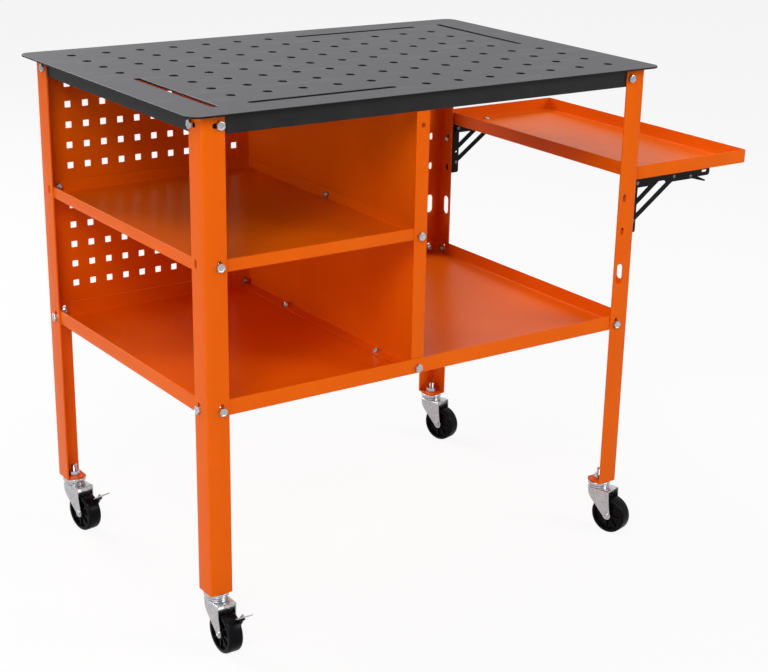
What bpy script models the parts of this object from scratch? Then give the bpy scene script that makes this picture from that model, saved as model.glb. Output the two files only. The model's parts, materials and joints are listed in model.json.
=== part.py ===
"""Rolling steel work table: a drilled top on an angle-iron frame with shelves, and a side tray that folds.

Metres, +Z up. X runs along the table towards the side with the tray, and Y from the front to the back.
Everything is laid out from the floor below the centre of the top, and one empty then carries the whole
table, so that the origin ends on the floor below the centre of the object's box.
"""

import math

import bmesh
import bpy
from mathutils import Euler, Matrix, Vector

# Fits
GAP = 0.0003
BORE_PLAY = 0.0003

# Top plate and its pattern of fixture holes and clamp slots
TOP_HEIGHT = 0.864
TOP_LENGTH = 0.902
TOP_DEPTH = 0.606
TOP_THICK = 0.003
TOP_CORNER = 0.020
HOLE_PITCH_X = 0.0635
HOLE_PITCH_Y = 0.0607
HOLE_DIAMETER = 0.016
HOLE_MARGIN_X = 0.060
HOLE_MARGIN_Y = 0.050
HOLE_SIDES = 10
CLAMP_SLOT_WIDTH = 0.012

# Skirt under the top
APRON_HEIGHT = 0.0295
APRON_FLANGE = 0.012
APRON_THICK = 0.0012

# Legs of folded angle, with a foot plate for the caster
LEG_SPAN_X = 0.852
LEG_SPAN_Y = 0.574
LEG_FLANGE = 0.0384
LEG_THICK = 0.0025
LEG_HOLE_INSET = 0.026
FOOT_CLIP = 0.005
BOLT_SLOT_WIDTH = 0.008
BOLT_SLOT_LENGTH = 0.014
TOP_SLOT_LENGTH = 0.016
SHELF_SLOT_LENGTH = 0.020
TOP_SLOT_DROP = 0.019
MID_SLOT_BELOW_LIP = 0.006
LOWER_SLOT_BELOW_LIP = 0.014
SECOND_SLOT_DROP = 0.287
HAND_SLOT_DROP = 0.365
HAND_SLOT_WIDTH = 0.016
HAND_SLOT_LENGTH = 0.037

# Shelves, divider and perforated back
SHEET = 0.0012
MID_SHELF_DROP = 0.221
MID_SHELF_LIP = 0.020
LOWER_SHELF_DROP = 0.442
LOWER_SHELF_LIP = 0.026
DIVIDER_X = -0.0195
DIVIDER_FLANGE = 0.0255
DIVIDER_HOLE_INSET = 0.013
DIVIDER_HOLE_RADIUS = 0.004
DIVIDER_HIGH_HOLE_DROP = 0.056
DIVIDER_MID_HOLE_DROP = 0.235
PEG_PITCH_X = 0.0323
PEG_PITCH_Z = 0.0354
PEG_HOLE = 0.011
PEG_START_X = 0.0485
PEG_START_Z = 0.0210
PEG_END_MARGIN = 0.026

# Folding side tray
TRAY_DROP = 0.1757
TRAY_LIP = 0.0243
TRAY_WIDTH = 0.270
TRAY_STANDOFF = 0.004
TRAY_END_INSET = 0.007

# Folding brackets: sizes are measured from the arm's pivot
BRACKET_INSET = 0.026
PIVOT_STANDOFF = 0.0115
PIN_RADIUS = 0.002
PIN_HEAD_RADIUS = 0.0035
PIN_HEAD = 0.001
WALL_WIDTH = 0.026
WALL_THICK = 0.0017
WALL_DEPTH = 0.016
WALL_ABOVE_PIVOT = 0.0045
WALL_BELOW_PIVOT = 0.090
WALL_CORNER = 0.004
ARM_LENGTH = 0.176
ARM_BEHIND_PIVOT = 0.006
ARM_RISE = 0.0067
ARM_FALL = 0.0088
ARM_MIDDLE_FALL = 0.0079
ARM_TIP_FALL = 0.0058
ARM_TIP_START = 0.139
ARM_NOTCH_FALL = 0.003
ARM_NOTCH_START = 0.034
ARM_NOTCH_END = 0.070
ARM_THICK = 0.0015
ARM_CORNER = 0.005
ARM_SLOT_START = 0.1585
ARM_SLOT_END = 0.1665
ARM_SLOT_WIDTH = 0.0042
ARM_SLOT_LINE = 0.0029
ARM_LINE = -0.002
STRUT_THICK = 0.0025
STRUT_HALF_WIDTH = 0.0045
STRUT_PIVOT = Vector((-0.0015, -0.0686))
STRUT_REACH = 0.0925
INNER_PIVOT = Vector((-0.0015, -0.0474))
INNER_REACH = 0.0608
LATCH_PIVOT_REACH = 0.137
LATCH_LINE = -0.0049
LATCH_TAIL_REACH = 0.0362
LATCH_TAIL_DROP = 0.0127
LATCH_TAIL_HALF = 0.0015

# Casters: wheel, fork and threaded stem
STEM_INSET = 0.021
STEM_RADIUS = 0.0055
STEM_ABOVE_FOOT = 0.0238
NUT_RADIUS = 0.0104
NUT_HEIGHT = 0.008
RING_RADIUS = 0.0205
RING_HEIGHT = 0.0065
RACE_RADIUS = 0.0185
RACE_HEIGHT = 0.0044
STEM_HEAD_RADIUS = 0.009
STEM_HEAD = 0.0022
FORK_THICK = 0.0025
CHEEK_THICK = 0.002
CROWN_FRONT = 0.033
CROWN_BACK = 0.019
CROWN_CORNER = 0.004
CROWN_MARGIN = 0.0004
CHEEK_TIP = 0.0075
CHEEK_LEAN = math.radians(4.3)
CHEEK_BACK = 0.011
CHEEK_WAIST = Vector((0.003, -0.040))
TRAIL = 0.030
WHEEL_RADIUS = 0.0347
WHEEL_WIDTH = 0.0252
WHEEL_CLEARANCE = 0.0256
HUB_WIDTH = 0.0224
HUB_RADIUS = 0.009
RIM_INNER = 0.027
RECESS = 0.003
TREAD_EDGE = 0.002
AXLE_RADIUS = 0.003
AXLE_HEAD_RADIUS = 0.005
AXLE_HEAD = 0.0018
WHEEL_STEPS = 22
STEM_STEPS = 16
PIN_STEPS = 10

# Brake levers on the left casters, beside the fork. Reach and rise are measured from the axle.
LEVER_THICK = 0.002
LEVER_SPACER = 0.0024
LEVER_HALF_WIDTH = 0.004
LEVER_EYE = 0.0065
LEVER_BASE = Vector((-0.022, 0.029))
TAB_END = Vector((-0.052, 0.047))
TAB_HALF = 0.001
TAB_WIDTH = 0.014
SHOE_LENGTH = 0.009
SHOE_DEPTH = 0.0033
SHOE_WIDTH = 0.012

# Each corner: name, side along X, side along Y, swivel angle in degrees and whether it has a brake
CORNERS = (
    ("front_left", -1, -1, 0.0, True),
    ("front_right", 1, -1, 15.0, False),
    ("back_left", -1, 1, 9.0, True),
    ("back_right", 1, 1, 15.0, False),
)

# A plate is drawn in its own XY plane. These turn it to stand facing the front or the side.
FACING_FRONT = (math.radians(90), 0, 0)
FACING_SIDE = (math.radians(90), 0, math.radians(90))
ALONG_X = (0, math.radians(90), 0)

# Heights and places that follow from the sizes above
LEG_X = LEG_SPAN_X / 2
LEG_Y = LEG_SPAN_Y / 2
AXLE_DROP = WHEEL_RADIUS + WHEEL_CLEARANCE
FOOT_Z = WHEEL_RADIUS + AXLE_DROP
UNDER_TOP = TOP_HEIGHT - TOP_THICK - GAP
INNER_X = LEG_X - LEG_THICK - GAP
CROWN_TOP = -GAP - RING_HEIGHT - RACE_HEIGHT - GAP
OUTER_LAYER = LEG_Y - LEG_THICK - GAP
MIDDLE_LAYER = OUTER_LAYER - SHEET - GAP
INNER_LAYER = MIDDLE_LAYER - SHEET - GAP
LOWER_FLOOR = TOP_HEIGHT - LOWER_SHELF_DROP - LOWER_SHELF_LIP
MID_FLOOR = TOP_HEIGHT - MID_SHELF_DROP - MID_SHELF_LIP
TRAY_FLOOR = TOP_HEIGHT - TRAY_DROP - TRAY_LIP
TRAY_HALF_LENGTH = LEG_Y - TRAY_END_INSET
PIVOT_X = LEG_X + PIVOT_STANDOFF
PIVOT_Z = TRAY_FLOOR - GAP - ARM_RISE
BRACKET_Y = LEG_Y - BRACKET_INSET
EAR_FACE = WALL_WIDTH / 2
ARM_INNER = EAR_FACE + PIN_HEAD + GAP
ARM_OUTER = ARM_INNER + ARM_THICK
STRUT_LAYER = EAR_FACE - WALL_THICK - GAP - STRUT_THICK / 2
LATCH_LAYER = STRUT_LAYER - STRUT_THICK - GAP
INNER_STRUT_LAYER = LATCH_LAYER - STRUT_THICK - GAP
CHEEK_SLOPE = math.tan(CHEEK_LEAN)
CHEEK_FACE = HUB_WIDTH / 2 + GAP + CHEEK_TIP * CHEEK_SLOPE + CHEEK_THICK
CROWN_HALF = CHEEK_FACE + (AXLE_DROP + CROWN_TOP) * CHEEK_SLOPE + CROWN_MARGIN
AXLE_REACH = CHEEK_FACE + GAP + AXLE_HEAD_RADIUS * CHEEK_SLOPE
LEVER_FACE = AXLE_REACH + LEVER_SPACER + GAP


def tidy_scene():
    for old in list(bpy.data.objects):
        bpy.data.objects.remove(old, do_unlink=True)


def new_collection(name):
    made = bpy.data.collections.new(name)
    bpy.context.scene.collection.children.link(made)
    return made


def new_material(name, colour, roughness, metallic):
    made = bpy.data.materials.new(name)
    made.use_nodes = True
    shader = made.node_tree.nodes["Principled BSDF"]
    shader.inputs["Base Color"].default_value = (*colour, 1.0)
    shader.inputs["Roughness"].default_value = roughness
    shader.inputs["Metallic"].default_value = metallic
    return made


def new_empty(name, parent, location, turn=0.0):
    made = bpy.data.objects.new(name, None)
    PARTS.objects.link(made)
    made.parent = parent
    made.location = location
    made.rotation_euler = (0, 0, math.radians(turn))
    return made


def place(piece, finish, parent, location=(0, 0, 0), rotation=(0, 0, 0)):
    """Puts a finished piece in the table's collection, on its parent and with its material."""
    PARTS.objects.link(piece)
    piece.parent = parent
    piece.location = location
    piece.rotation_euler = rotation
    piece.data.materials.append(finish)
    return piece


def arc(centre, radius, start, end, steps):
    """Points on an arc, angles in degrees."""
    points = []
    for step in range(steps + 1):
        angle = math.radians(start + (end - start) * step / steps)
        points.append((centre[0] + radius * math.cos(angle), centre[1] + radius * math.sin(angle)))
    return points


def circle(centre, radius, sides):
    return arc(centre, radius, 0, 360 - 360 / sides, sides - 1)


def stadium(start, end, radius, steps=5):
    """A bar with round ends from one point to another."""
    heading = math.degrees(math.atan2(end[1] - start[1], end[0] - start[0]))
    points = arc(end, radius, heading - 90, heading + 90, steps)
    return points + arc(start, radius, heading + 90, heading + 270, steps)


def rectangle(low, high, radius=0.0, steps=5):
    if not radius:
        return [(low[0], low[1]), (high[0], low[1]), (high[0], high[1]), (low[0], high[1])]
    points = arc((high[0] - radius, low[1] + radius), radius, -90, 0, steps)
    points += arc((high[0] - radius, high[1] - radius), radius, 0, 90, steps)
    points += arc((low[0] + radius, high[1] - radius), radius, 90, 180, steps)
    return points + arc((low[0] + radius, low[1] + radius), radius, 180, 270, steps)


def plate(name, loops, thickness):
    """A flat plate, centred on its thickness: the first loop is its edge, and loops inside are holes."""
    outline = bpy.data.curves.new(name, "CURVE")
    outline.dimensions = "2D"
    outline.fill_mode = "BOTH"
    outline.extrude = thickness / 2
    for loop in loops:
        spline = outline.splines.new("POLY")
        spline.points.add(len(loop) - 1)
        for point, (x, y) in zip(spline.points, loop):
            point.co = (x, y, 0, 1)
        spline.use_cyclic_u = True
    return bpy.data.objects.new(name, outline)


def meshed(drawn):
    """The same piece as a welded mesh, for a Boolean."""
    bpy.context.scene.collection.objects.link(drawn)
    graph = bpy.context.evaluated_depsgraph_get()
    mesh = bpy.data.meshes.new_from_object(drawn.evaluated_get(graph))
    name = drawn.name
    bpy.data.objects.remove(drawn, do_unlink=True)
    welded = bmesh.new()
    welded.from_mesh(mesh)
    bmesh.ops.remove_doubles(welded, verts=welded.verts, dist=0.00001)
    welded.to_mesh(mesh)
    welded.free()
    return bpy.data.objects.new(name, mesh)


def combine(target, tool, operation, parent, location=(0, 0, 0), rotation=(0, 0, 0)):
    """Cuts the tool from the target, or joins it, and keeps the tool as a hidden guide."""
    CUTTERS.objects.link(tool)
    tool.parent = parent
    tool.location = location
    tool.rotation_euler = rotation
    tool.hide_render = True
    tool.display_type = "WIRE"
    step = target.modifiers.new(tool.name, "BOOLEAN")
    step.operation = operation
    step.object = tool
    step.solver = "EXACT"


def folded_sheet(name, low, high, open_sides, thickness, corner=0.0):
    """A box of folded sheet with some sides left open. The sheet lies inside the box's size.

    An open side is named by its axis and sign, as in "+Z". Free corners are rounded by corner.
    """
    low, high = Vector(low), Vector(high)
    shell = bmesh.new()
    bmesh.ops.create_cube(shell, size=1)
    bmesh.ops.scale(shell, vec=high - low, verts=shell.verts)
    bmesh.ops.translate(shell, vec=(low + high) / 2, verts=shell.verts)
    removed = []
    for face in shell.faces:
        axis = max(range(3), key=lambda i: abs(face.normal[i]))
        if ("+" if face.normal[axis] > 0 else "-") + "XYZ"[axis] in open_sides:
            removed.append(face)
    bmesh.ops.delete(shell, geom=removed, context="FACES")
    if corner:
        free = [vert for vert in shell.verts if len(vert.link_faces) == 1]
        bmesh.ops.bevel(shell, geom=free, offset=corner, segments=4, profile=0.5, affect="VERTICES")
    mesh = bpy.data.meshes.new(name)
    shell.to_mesh(mesh)
    shell.free()
    piece = bpy.data.objects.new(name, mesh)
    sheet = piece.modifiers.new("sheet", "SOLIDIFY")
    sheet.thickness = thickness
    sheet.offset = -1
    sheet.use_even_offset = True
    return piece


def turned(name, profile, steps, closed=False):
    """A turned piece about its own Z axis. The profile runs down the outer side, top to bottom."""
    mesh = bpy.data.meshes.new(name)
    section = bmesh.new()
    corners = [section.verts.new((radius, 0, height)) for radius, height in profile]
    for first, second in zip(corners, corners[1:]):
        section.edges.new((first, second))
    if closed:
        section.edges.new((corners[-1], corners[0]))
    section.to_mesh(mesh)
    section.free()
    piece = bpy.data.objects.new(name, mesh)
    spin = piece.modifiers.new("turn", "SCREW")
    spin.steps = steps
    spin.render_steps = steps
    spin.use_merge_vertices = True
    spin.merge_threshold = 0.00001
    spin.use_smooth_shade = True
    return piece


def pattern_reach(size, margin, pitch):
    """How many holes fit between the centre line and the margin."""
    return int((size / 2 - margin) / pitch)


def table_top(root):
    """The drilled plate, with a clamp slot in place of some holes on each side."""
    half_x, half_y = TOP_LENGTH / 2, TOP_DEPTH / 2
    columns = pattern_reach(TOP_LENGTH, HOLE_MARGIN_X, HOLE_PITCH_X)
    rows = pattern_reach(TOP_DEPTH, HOLE_MARGIN_Y, HOLE_PITCH_Y)
    loops = [rectangle((-half_x, -half_y), (half_x, half_y), TOP_CORNER, steps=6)]
    slotted = set()
    for turn in (1, -1):
        across = [(turn * i, turn * rows) for i in range(1, columns)]
        along = [(turn * columns, turn * j) for j in range(rows + 1)]
        for run in (across, along):
            slotted.update(run)
            ends = [(i * HOLE_PITCH_X, j * HOLE_PITCH_Y) for i, j in (run[0], run[-1])]
            loops.append(stadium(ends[0], ends[1], CLAMP_SLOT_WIDTH / 2))
    for i in range(-columns, columns + 1):
        for j in range(-rows, rows + 1):
            if (i, j) not in slotted:
                centre = (i * HOLE_PITCH_X, j * HOLE_PITCH_Y)
                loops.append(circle(centre, HOLE_DIAMETER / 2, HOLE_SIDES))
    top = plate("table_top", loops, TOP_THICK)
    place(top, DARK_TOP, root, (0, 0, TOP_HEIGHT - TOP_THICK / 2))


def aprons(root):
    """The skirt: four folded angles under the top, the side pair between the long pair."""
    low_z = UNDER_TOP - APRON_HEIGHT
    long_end = INNER_X
    side_end = OUTER_LAYER - APRON_FLANGE - GAP
    for name, side in (("front", -1), ("back", 1)):
        edges = sorted((side * OUTER_LAYER, side * (OUTER_LAYER - APRON_FLANGE)))
        inner = "+Y" if side < 0 else "-Y"
        skirt = folded_sheet(
            f"{name}_apron",
            (-long_end, edges[0], low_z),
            (long_end, edges[1], UNDER_TOP),
            {"-Z", "-X", "+X", inner},
            APRON_THICK,
        )
        place(skirt, BLACK_PAINT, root)
    for name, side in (("left", -1), ("right", 1)):
        edges = sorted((side * INNER_X, side * (INNER_X - APRON_FLANGE)))
        inner = "+X" if side < 0 else "-X"
        skirt = folded_sheet(
            f"{name}_apron",
            (edges[0], -side_end, low_z),
            (edges[1], side_end, UNDER_TOP),
            {"-Z", "-Y", "+Y", inner},
            APRON_THICK,
        )
        place(skirt, BLACK_PAINT, root)


def upright_slot(across, drop, width, length):
    """A slot that stands upright in a leg, as a loop of distance across and height."""
    height = TOP_HEIGHT - drop
    reach = (length - width) / 2
    return stadium((across, height - reach), (across, height + reach), width / 2)


def leg_slots(across, carries_tray):
    """The slots of one flange: across is where they lie, from the leg's outer corner."""
    reach = (TOP_SLOT_LENGTH - BOLT_SLOT_WIDTH) / 2
    top_z = TOP_HEIGHT - TOP_SLOT_DROP
    mid_drop = MID_SHELF_DROP + MID_SLOT_BELOW_LIP
    lower_drop = LOWER_SHELF_DROP + LOWER_SLOT_BELOW_LIP
    loops = [
        stadium((across - reach, top_z), (across + reach, top_z), BOLT_SLOT_WIDTH / 2),
        upright_slot(across, mid_drop, BOLT_SLOT_WIDTH, BOLT_SLOT_LENGTH),
        upright_slot(across, lower_drop, BOLT_SLOT_WIDTH, SHELF_SLOT_LENGTH),
    ]
    if carries_tray:
        loops.append(upright_slot(across, SECOND_SLOT_DROP, BOLT_SLOT_WIDTH, BOLT_SLOT_LENGTH))
        loops.append(upright_slot(across, HAND_SLOT_DROP, HAND_SLOT_WIDTH, HAND_SLOT_LENGTH))
    return loops


def leg(name, side_x, side_y, root):
    """One leg: two flanges and the foot plate, with the outer corner on the leg's own Z axis."""
    ends_x = sorted((0, -side_x * LEG_FLANGE))
    ends_y = sorted((0, -side_y * LEG_FLANGE))
    inner_x = "-X" if side_x > 0 else "+X"
    inner_y = "-Y" if side_y > 0 else "+Y"
    angle = folded_sheet(
        f"{name}_leg",
        (ends_x[0], ends_y[0], FOOT_Z),
        (ends_x[1], ends_y[1], UNDER_TOP),
        {"+Z", inner_x, inner_y},
        LEG_THICK,
    )
    place(angle, ORANGE_PAINT, root, (side_x * LEG_X, side_y * LEG_Y, 0))
    through = 4 * LEG_THICK
    carries_tray = side_x > 0
    facing = meshed(plate(f"{name}_front_slots", leg_slots(-side_x * LEG_HOLE_INSET, carries_tray), through))
    combine(angle, facing, "DIFFERENCE", angle, rotation=FACING_FRONT)
    sideways = meshed(plate(f"{name}_side_slots", leg_slots(-side_y * LEG_HOLE_INSET, carries_tray), through))
    combine(angle, sideways, "DIFFERENCE", angle, rotation=FACING_SIDE)
    stem = (-side_x * STEM_INSET, -side_y * STEM_INSET)
    past = LEG_FLANGE + LEG_THICK
    short = LEG_FLANGE - FOOT_CLIP - LEG_THICK
    corner = [(-side_x * x, -side_y * y) for x, y in ((past, past), (past, short), (short, past))]
    loops = [circle(stem, STEM_RADIUS + BORE_PLAY, PIN_STEPS), corner]
    foot = meshed(plate(f"{name}_foot_cuts", loops, through))
    combine(angle, foot, "DIFFERENCE", angle, (0, 0, FOOT_Z))


def shelves(root):
    lower = folded_sheet(
        "lower_shelf",
        (-INNER_X, -OUTER_LAYER, LOWER_FLOOR),
        (INNER_X, OUTER_LAYER, LOWER_FLOOR + LOWER_SHELF_LIP),
        {"+Z"},
        SHEET,
    )
    place(lower, ORANGE_PAINT, root)
    mid = folded_sheet(
        "mid_shelf",
        (-INNER_X, -INNER_LAYER, MID_FLOOR),
        (DIVIDER_X - SHEET - GAP, INNER_LAYER, MID_FLOOR + MID_SHELF_LIP),
        {"+Z"},
        SHEET,
    )
    place(mid, ORANGE_PAINT, root)


def divider(root):
    """The upright between the bays: a web with flanges on its four edges, drilled front and back."""
    web = folded_sheet(
        "divider",
        (DIVIDER_X - DIVIDER_FLANGE, -MIDDLE_LAYER, LOWER_FLOOR + SHEET + GAP),
        (DIVIDER_X, MIDDLE_LAYER, UNDER_TOP - APRON_THICK - GAP),
        {"-X"},
        SHEET,
    )
    place(web, ORANGE_PAINT, root)
    loops = [circle(at, DIVIDER_HOLE_RADIUS, PIN_STEPS) for at in divider_holes()]
    drill = meshed(plate("divider_holes", loops, 4 * MIDDLE_LAYER))
    combine(web, drill, "DIFFERENCE", web, rotation=FACING_FRONT)


def divider_holes():
    """The bolt holes of the divider's front and back flanges, as distance along and height."""
    along = DIVIDER_X - DIVIDER_HOLE_INSET
    return [(along, TOP_HEIGHT - drop) for drop in (DIVIDER_HIGH_HOLE_DROP, DIVIDER_MID_HOLE_DROP)]


def back_panel(root):
    """The perforated sheet behind the left bays."""
    low = (-INNER_X, LOWER_FLOOR + LOWER_SHELF_LIP + GAP)
    high = (DIVIDER_X, UNDER_TOP - APRON_HEIGHT - GAP)
    columns = int((high[0] - low[0] - PEG_START_X - PEG_END_MARGIN) / PEG_PITCH_X) + 1
    rows = int((high[1] - low[1] - PEG_START_Z - PEG_END_MARGIN) / PEG_PITCH_Z) + 1
    half = PEG_HOLE / 2
    loops = [rectangle(low, high), circle(divider_holes()[1], DIVIDER_HOLE_RADIUS, PIN_STEPS)]
    for column in range(columns):
        for row in range(rows):
            x = low[0] + PEG_START_X + column * PEG_PITCH_X
            z = high[1] - PEG_START_Z - row * PEG_PITCH_Z
            loops.append(rectangle((x - half, z - half), (x + half, z + half)))
    panel = plate("back_panel", loops, SHEET)
    place(panel, ORANGE_PAINT, root, (0, OUTER_LAYER - SHEET / 2, 0), FACING_FRONT)


def folding_tray(hinge):
    """The tray, drawn from the hinge line that carries it."""
    near = LEG_X + TRAY_STANDOFF - PIVOT_X
    floor = TRAY_FLOOR - PIVOT_Z
    tray = folded_sheet(
        "folding_tray",
        (near, -TRAY_HALF_LENGTH, floor),
        (near + TRAY_WIDTH, TRAY_HALF_LENGTH, floor + TRAY_LIP),
        {"+Z"},
        SHEET,
    )
    place(tray, ORANGE_PAINT, hinge)


def rivet(name, parent, location, low, high, heads):
    """A pin along Y between two places, with a head outside the ends named low or high."""
    profile = [(0, high), (PIN_RADIUS, high), (PIN_RADIUS, low), (0, low)]
    if "high" in heads:
        profile[:2] = [
            (0, high + PIN_HEAD),
            (PIN_HEAD_RADIUS, high + PIN_HEAD),
            (PIN_HEAD_RADIUS, high),
            (PIN_RADIUS, high),
        ]
    if "low" in heads:
        profile[-2:] = [
            (PIN_RADIUS, low),
            (PIN_HEAD_RADIUS, low),
            (PIN_HEAD_RADIUS, low - PIN_HEAD),
            (0, low - PIN_HEAD),
        ]
    pin = turned(name, profile, PIN_STEPS)
    # The profile stands along Z, so this turn lays it along Y with its high end at the back.
    place(pin, ZINC, parent, location, (math.radians(-90), 0, 0))


def bracket_wall(name, bracket):
    """The channel on the leg: a back plate and two ears, with bores for the three pins."""
    back = GAP - PIVOT_STANDOFF
    wall = folded_sheet(
        f"{name}_wall_plate",
        (back, -EAR_FACE, -WALL_BELOW_PIVOT),
        (back + WALL_DEPTH, EAR_FACE, WALL_ABOVE_PIVOT),
        {"+X", "+Z", "-Z"},
        WALL_THICK,
        WALL_CORNER,
    )
    place(wall, BLACK_PAINT, bracket)
    bore = PIN_RADIUS + BORE_PLAY
    loops = [circle(at, bore, PIN_STEPS) for at in ((0, 0), STRUT_PIVOT, INNER_PIVOT)]
    bores = meshed(plate(f"{name}_wall_bores", loops, 2 * WALL_WIDTH))
    combine(wall, bores, "DIFFERENCE", wall, rotation=FACING_FRONT)


def arm_cutback():
    """What is cut from the arm's lower edges: a notch above the struts, then a shallower end with its corner."""
    below = -2 * ARM_FALL
    # The corner's arc reaches just past the end, so that it crosses the end face at an angle.
    corner = (ARM_LENGTH - 0.92 * ARM_CORNER, ARM_CORNER - ARM_TIP_FALL)
    rounded = arc(corner, ARM_CORNER, -14, -90, 4)
    beyond = ARM_LENGTH + ARM_CORNER
    outline = [(ARM_NOTCH_START, below), (beyond, below), (beyond, rounded[0][1])]
    outline += rounded
    outline += [
        (ARM_TIP_START + ARM_MIDDLE_FALL - ARM_TIP_FALL, -ARM_TIP_FALL),
        (ARM_TIP_START, -ARM_MIDDLE_FALL),
        (ARM_NOTCH_END, -ARM_MIDDLE_FALL),
        (ARM_NOTCH_END + ARM_NOTCH_FALL - ARM_MIDDLE_FALL, -ARM_NOTCH_FALL),
        (ARM_NOTCH_START + ARM_FALL - ARM_NOTCH_FALL, -ARM_NOTCH_FALL),
        (ARM_NOTCH_START, -ARM_FALL),
    ]
    return outline


def bracket_arm(name, carrier):
    """The channel under the tray, open below, that straddles the ears."""
    arm = folded_sheet(
        f"{name}_arm",
        (-ARM_BEHIND_PIVOT, -ARM_OUTER, -ARM_FALL),
        (ARM_LENGTH, ARM_OUTER, ARM_RISE),
        {"-X", "+X", "-Z"},
        ARM_THICK,
        ARM_CORNER,
    )
    place(arm, BLACK_PAINT, carrier)
    bore = PIN_RADIUS + BORE_PLAY
    slot = stadium((ARM_SLOT_START, ARM_SLOT_LINE), (ARM_SLOT_END, ARM_SLOT_LINE), ARM_SLOT_WIDTH / 2)
    loops = [circle((0, 0), bore, PIN_STEPS), circle((LATCH_PIVOT_REACH, LATCH_LINE), bore, PIN_STEPS), slot]
    loops.append(arm_cutback())
    bores = meshed(plate(f"{name}_arm_bores", loops, 4 * ARM_OUTER))
    combine(arm, bores, "DIFFERENCE", arm, rotation=FACING_FRONT)


def bracket_strut(name, bracket, pivot, reach, layer):
    """A flat bar from its pivot on the ears up to the arm's slot line."""
    tip = Vector((reach, ARM_LINE)) - pivot
    loops = [
        stadium((0, 0), tip, STRUT_HALF_WIDTH),
        circle((0, 0), PIN_RADIUS + BORE_PLAY, PIN_STEPS),
    ]
    bar = plate(name, loops, STRUT_THICK)
    place(bar, BLACK_PAINT, bracket, (pivot[0], layer, pivot[1]), FACING_FRONT)


def latch_lever(name, carrier):
    """The catch that holds the outer strut's end, with a finger tail past its pivot."""
    hook = STRUT_REACH - LATCH_PIVOT_REACH
    heading = math.degrees(math.atan2(-LATCH_TAIL_DROP, LATCH_TAIL_REACH))
    end = (LATCH_TAIL_REACH, -LATCH_TAIL_DROP)
    outline = arc((hook, 0), STRUT_HALF_WIDTH, 90, 270, 5)
    outline += arc((0, 0), STRUT_HALF_WIDTH, 270, 285, 1)
    outline += arc(end, LATCH_TAIL_HALF, heading - 90, heading + 90, 3)
    outline += arc((0, 0), STRUT_HALF_WIDTH, 45, 90, 3)
    bore = circle((0, 0), PIN_RADIUS + BORE_PLAY, PIN_STEPS)
    lever = plate(f"{name}_latch_lever", [outline, bore], STRUT_THICK)
    place(lever, BLACK_PAINT, carrier, (LATCH_PIVOT_REACH, -LATCH_LAYER, LATCH_LINE), FACING_FRONT)


def folding_bracket(name, side_y, root, hinge):
    """One bracket. The struts and pins stay on the leg, the arm and the lever fold with the tray."""
    bracket = new_empty(f"{name}_bracket", root, (PIVOT_X, side_y * BRACKET_Y, PIVOT_Z))
    carrier = new_empty(f"{name}_carrier", hinge, (0, side_y * BRACKET_Y, 0))
    bracket_wall(name, bracket)
    bracket_arm(name, carrier)
    bracket_strut(f"{name}_outer_strut", bracket, STRUT_PIVOT, STRUT_REACH, -STRUT_LAYER)
    bracket_strut(f"{name}_inner_strut", bracket, INNER_PIVOT, INNER_REACH, -INNER_STRUT_LAYER)
    latch_lever(name, carrier)
    inside = STRUT_LAYER - STRUT_THICK / 2
    latch_face = -LATCH_LAYER - STRUT_THICK / 2
    outer, inner = STRUT_PIVOT, INNER_PIVOT
    play = GAP / 2
    rivet(f"{name}_arm_pin", bracket, (0, 0, 0), -ARM_OUTER - play, ARM_OUTER + play, "low high")
    rivet(f"{name}_strut_pin", bracket, (outer[0], 0, outer[1]), -EAR_FACE, -inside, "low")
    inner_face = -INNER_STRUT_LAYER - STRUT_THICK / 2
    rivet(f"{name}_inner_pin", bracket, (inner[0], 0, inner[1]), inner_face, EAR_FACE, "high")
    latch_place = (LATCH_PIVOT_REACH, 0, LATCH_LINE)
    rivet(f"{name}_latch_pin", carrier, latch_place, latch_face, ARM_OUTER + play, "high")


def caster_stem(name, mount):
    """The threaded stem with its ring and bearing race, riveted over below the fork."""
    race_top = -GAP - RING_HEIGHT
    race_low = race_top - RACE_HEIGHT
    neck_low = CROWN_TOP - FORK_THICK - GAP
    profile = [
        (0, STEM_ABOVE_FOOT),
        (STEM_RADIUS, STEM_ABOVE_FOOT),
        (STEM_RADIUS, -GAP),
        (RING_RADIUS * 0.95, -GAP),
        (RING_RADIUS, -GAP - RING_HEIGHT * 0.3),
        (RING_RADIUS, race_top),
        (RACE_RADIUS, race_top),
        (RACE_RADIUS, race_low),
        (STEM_RADIUS, race_low),
        (STEM_RADIUS, neck_low),
        (STEM_HEAD_RADIUS, neck_low),
        (STEM_HEAD_RADIUS, neck_low - STEM_HEAD),
        (0, neck_low - STEM_HEAD),
    ]
    place(turned(f"{name}_caster_stem", profile, STEM_STEPS), ZINC, mount)
    loops = [circle((0, 0), NUT_RADIUS, 6), circle((0, 0), STEM_RADIUS + BORE_PLAY, PIN_STEPS)]
    nut = plate(f"{name}_stem_nut", loops, NUT_HEIGHT)
    place(nut, ZINC, mount, (0, 0, LEG_THICK + GAP + NUT_HEIGHT / 2))


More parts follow.
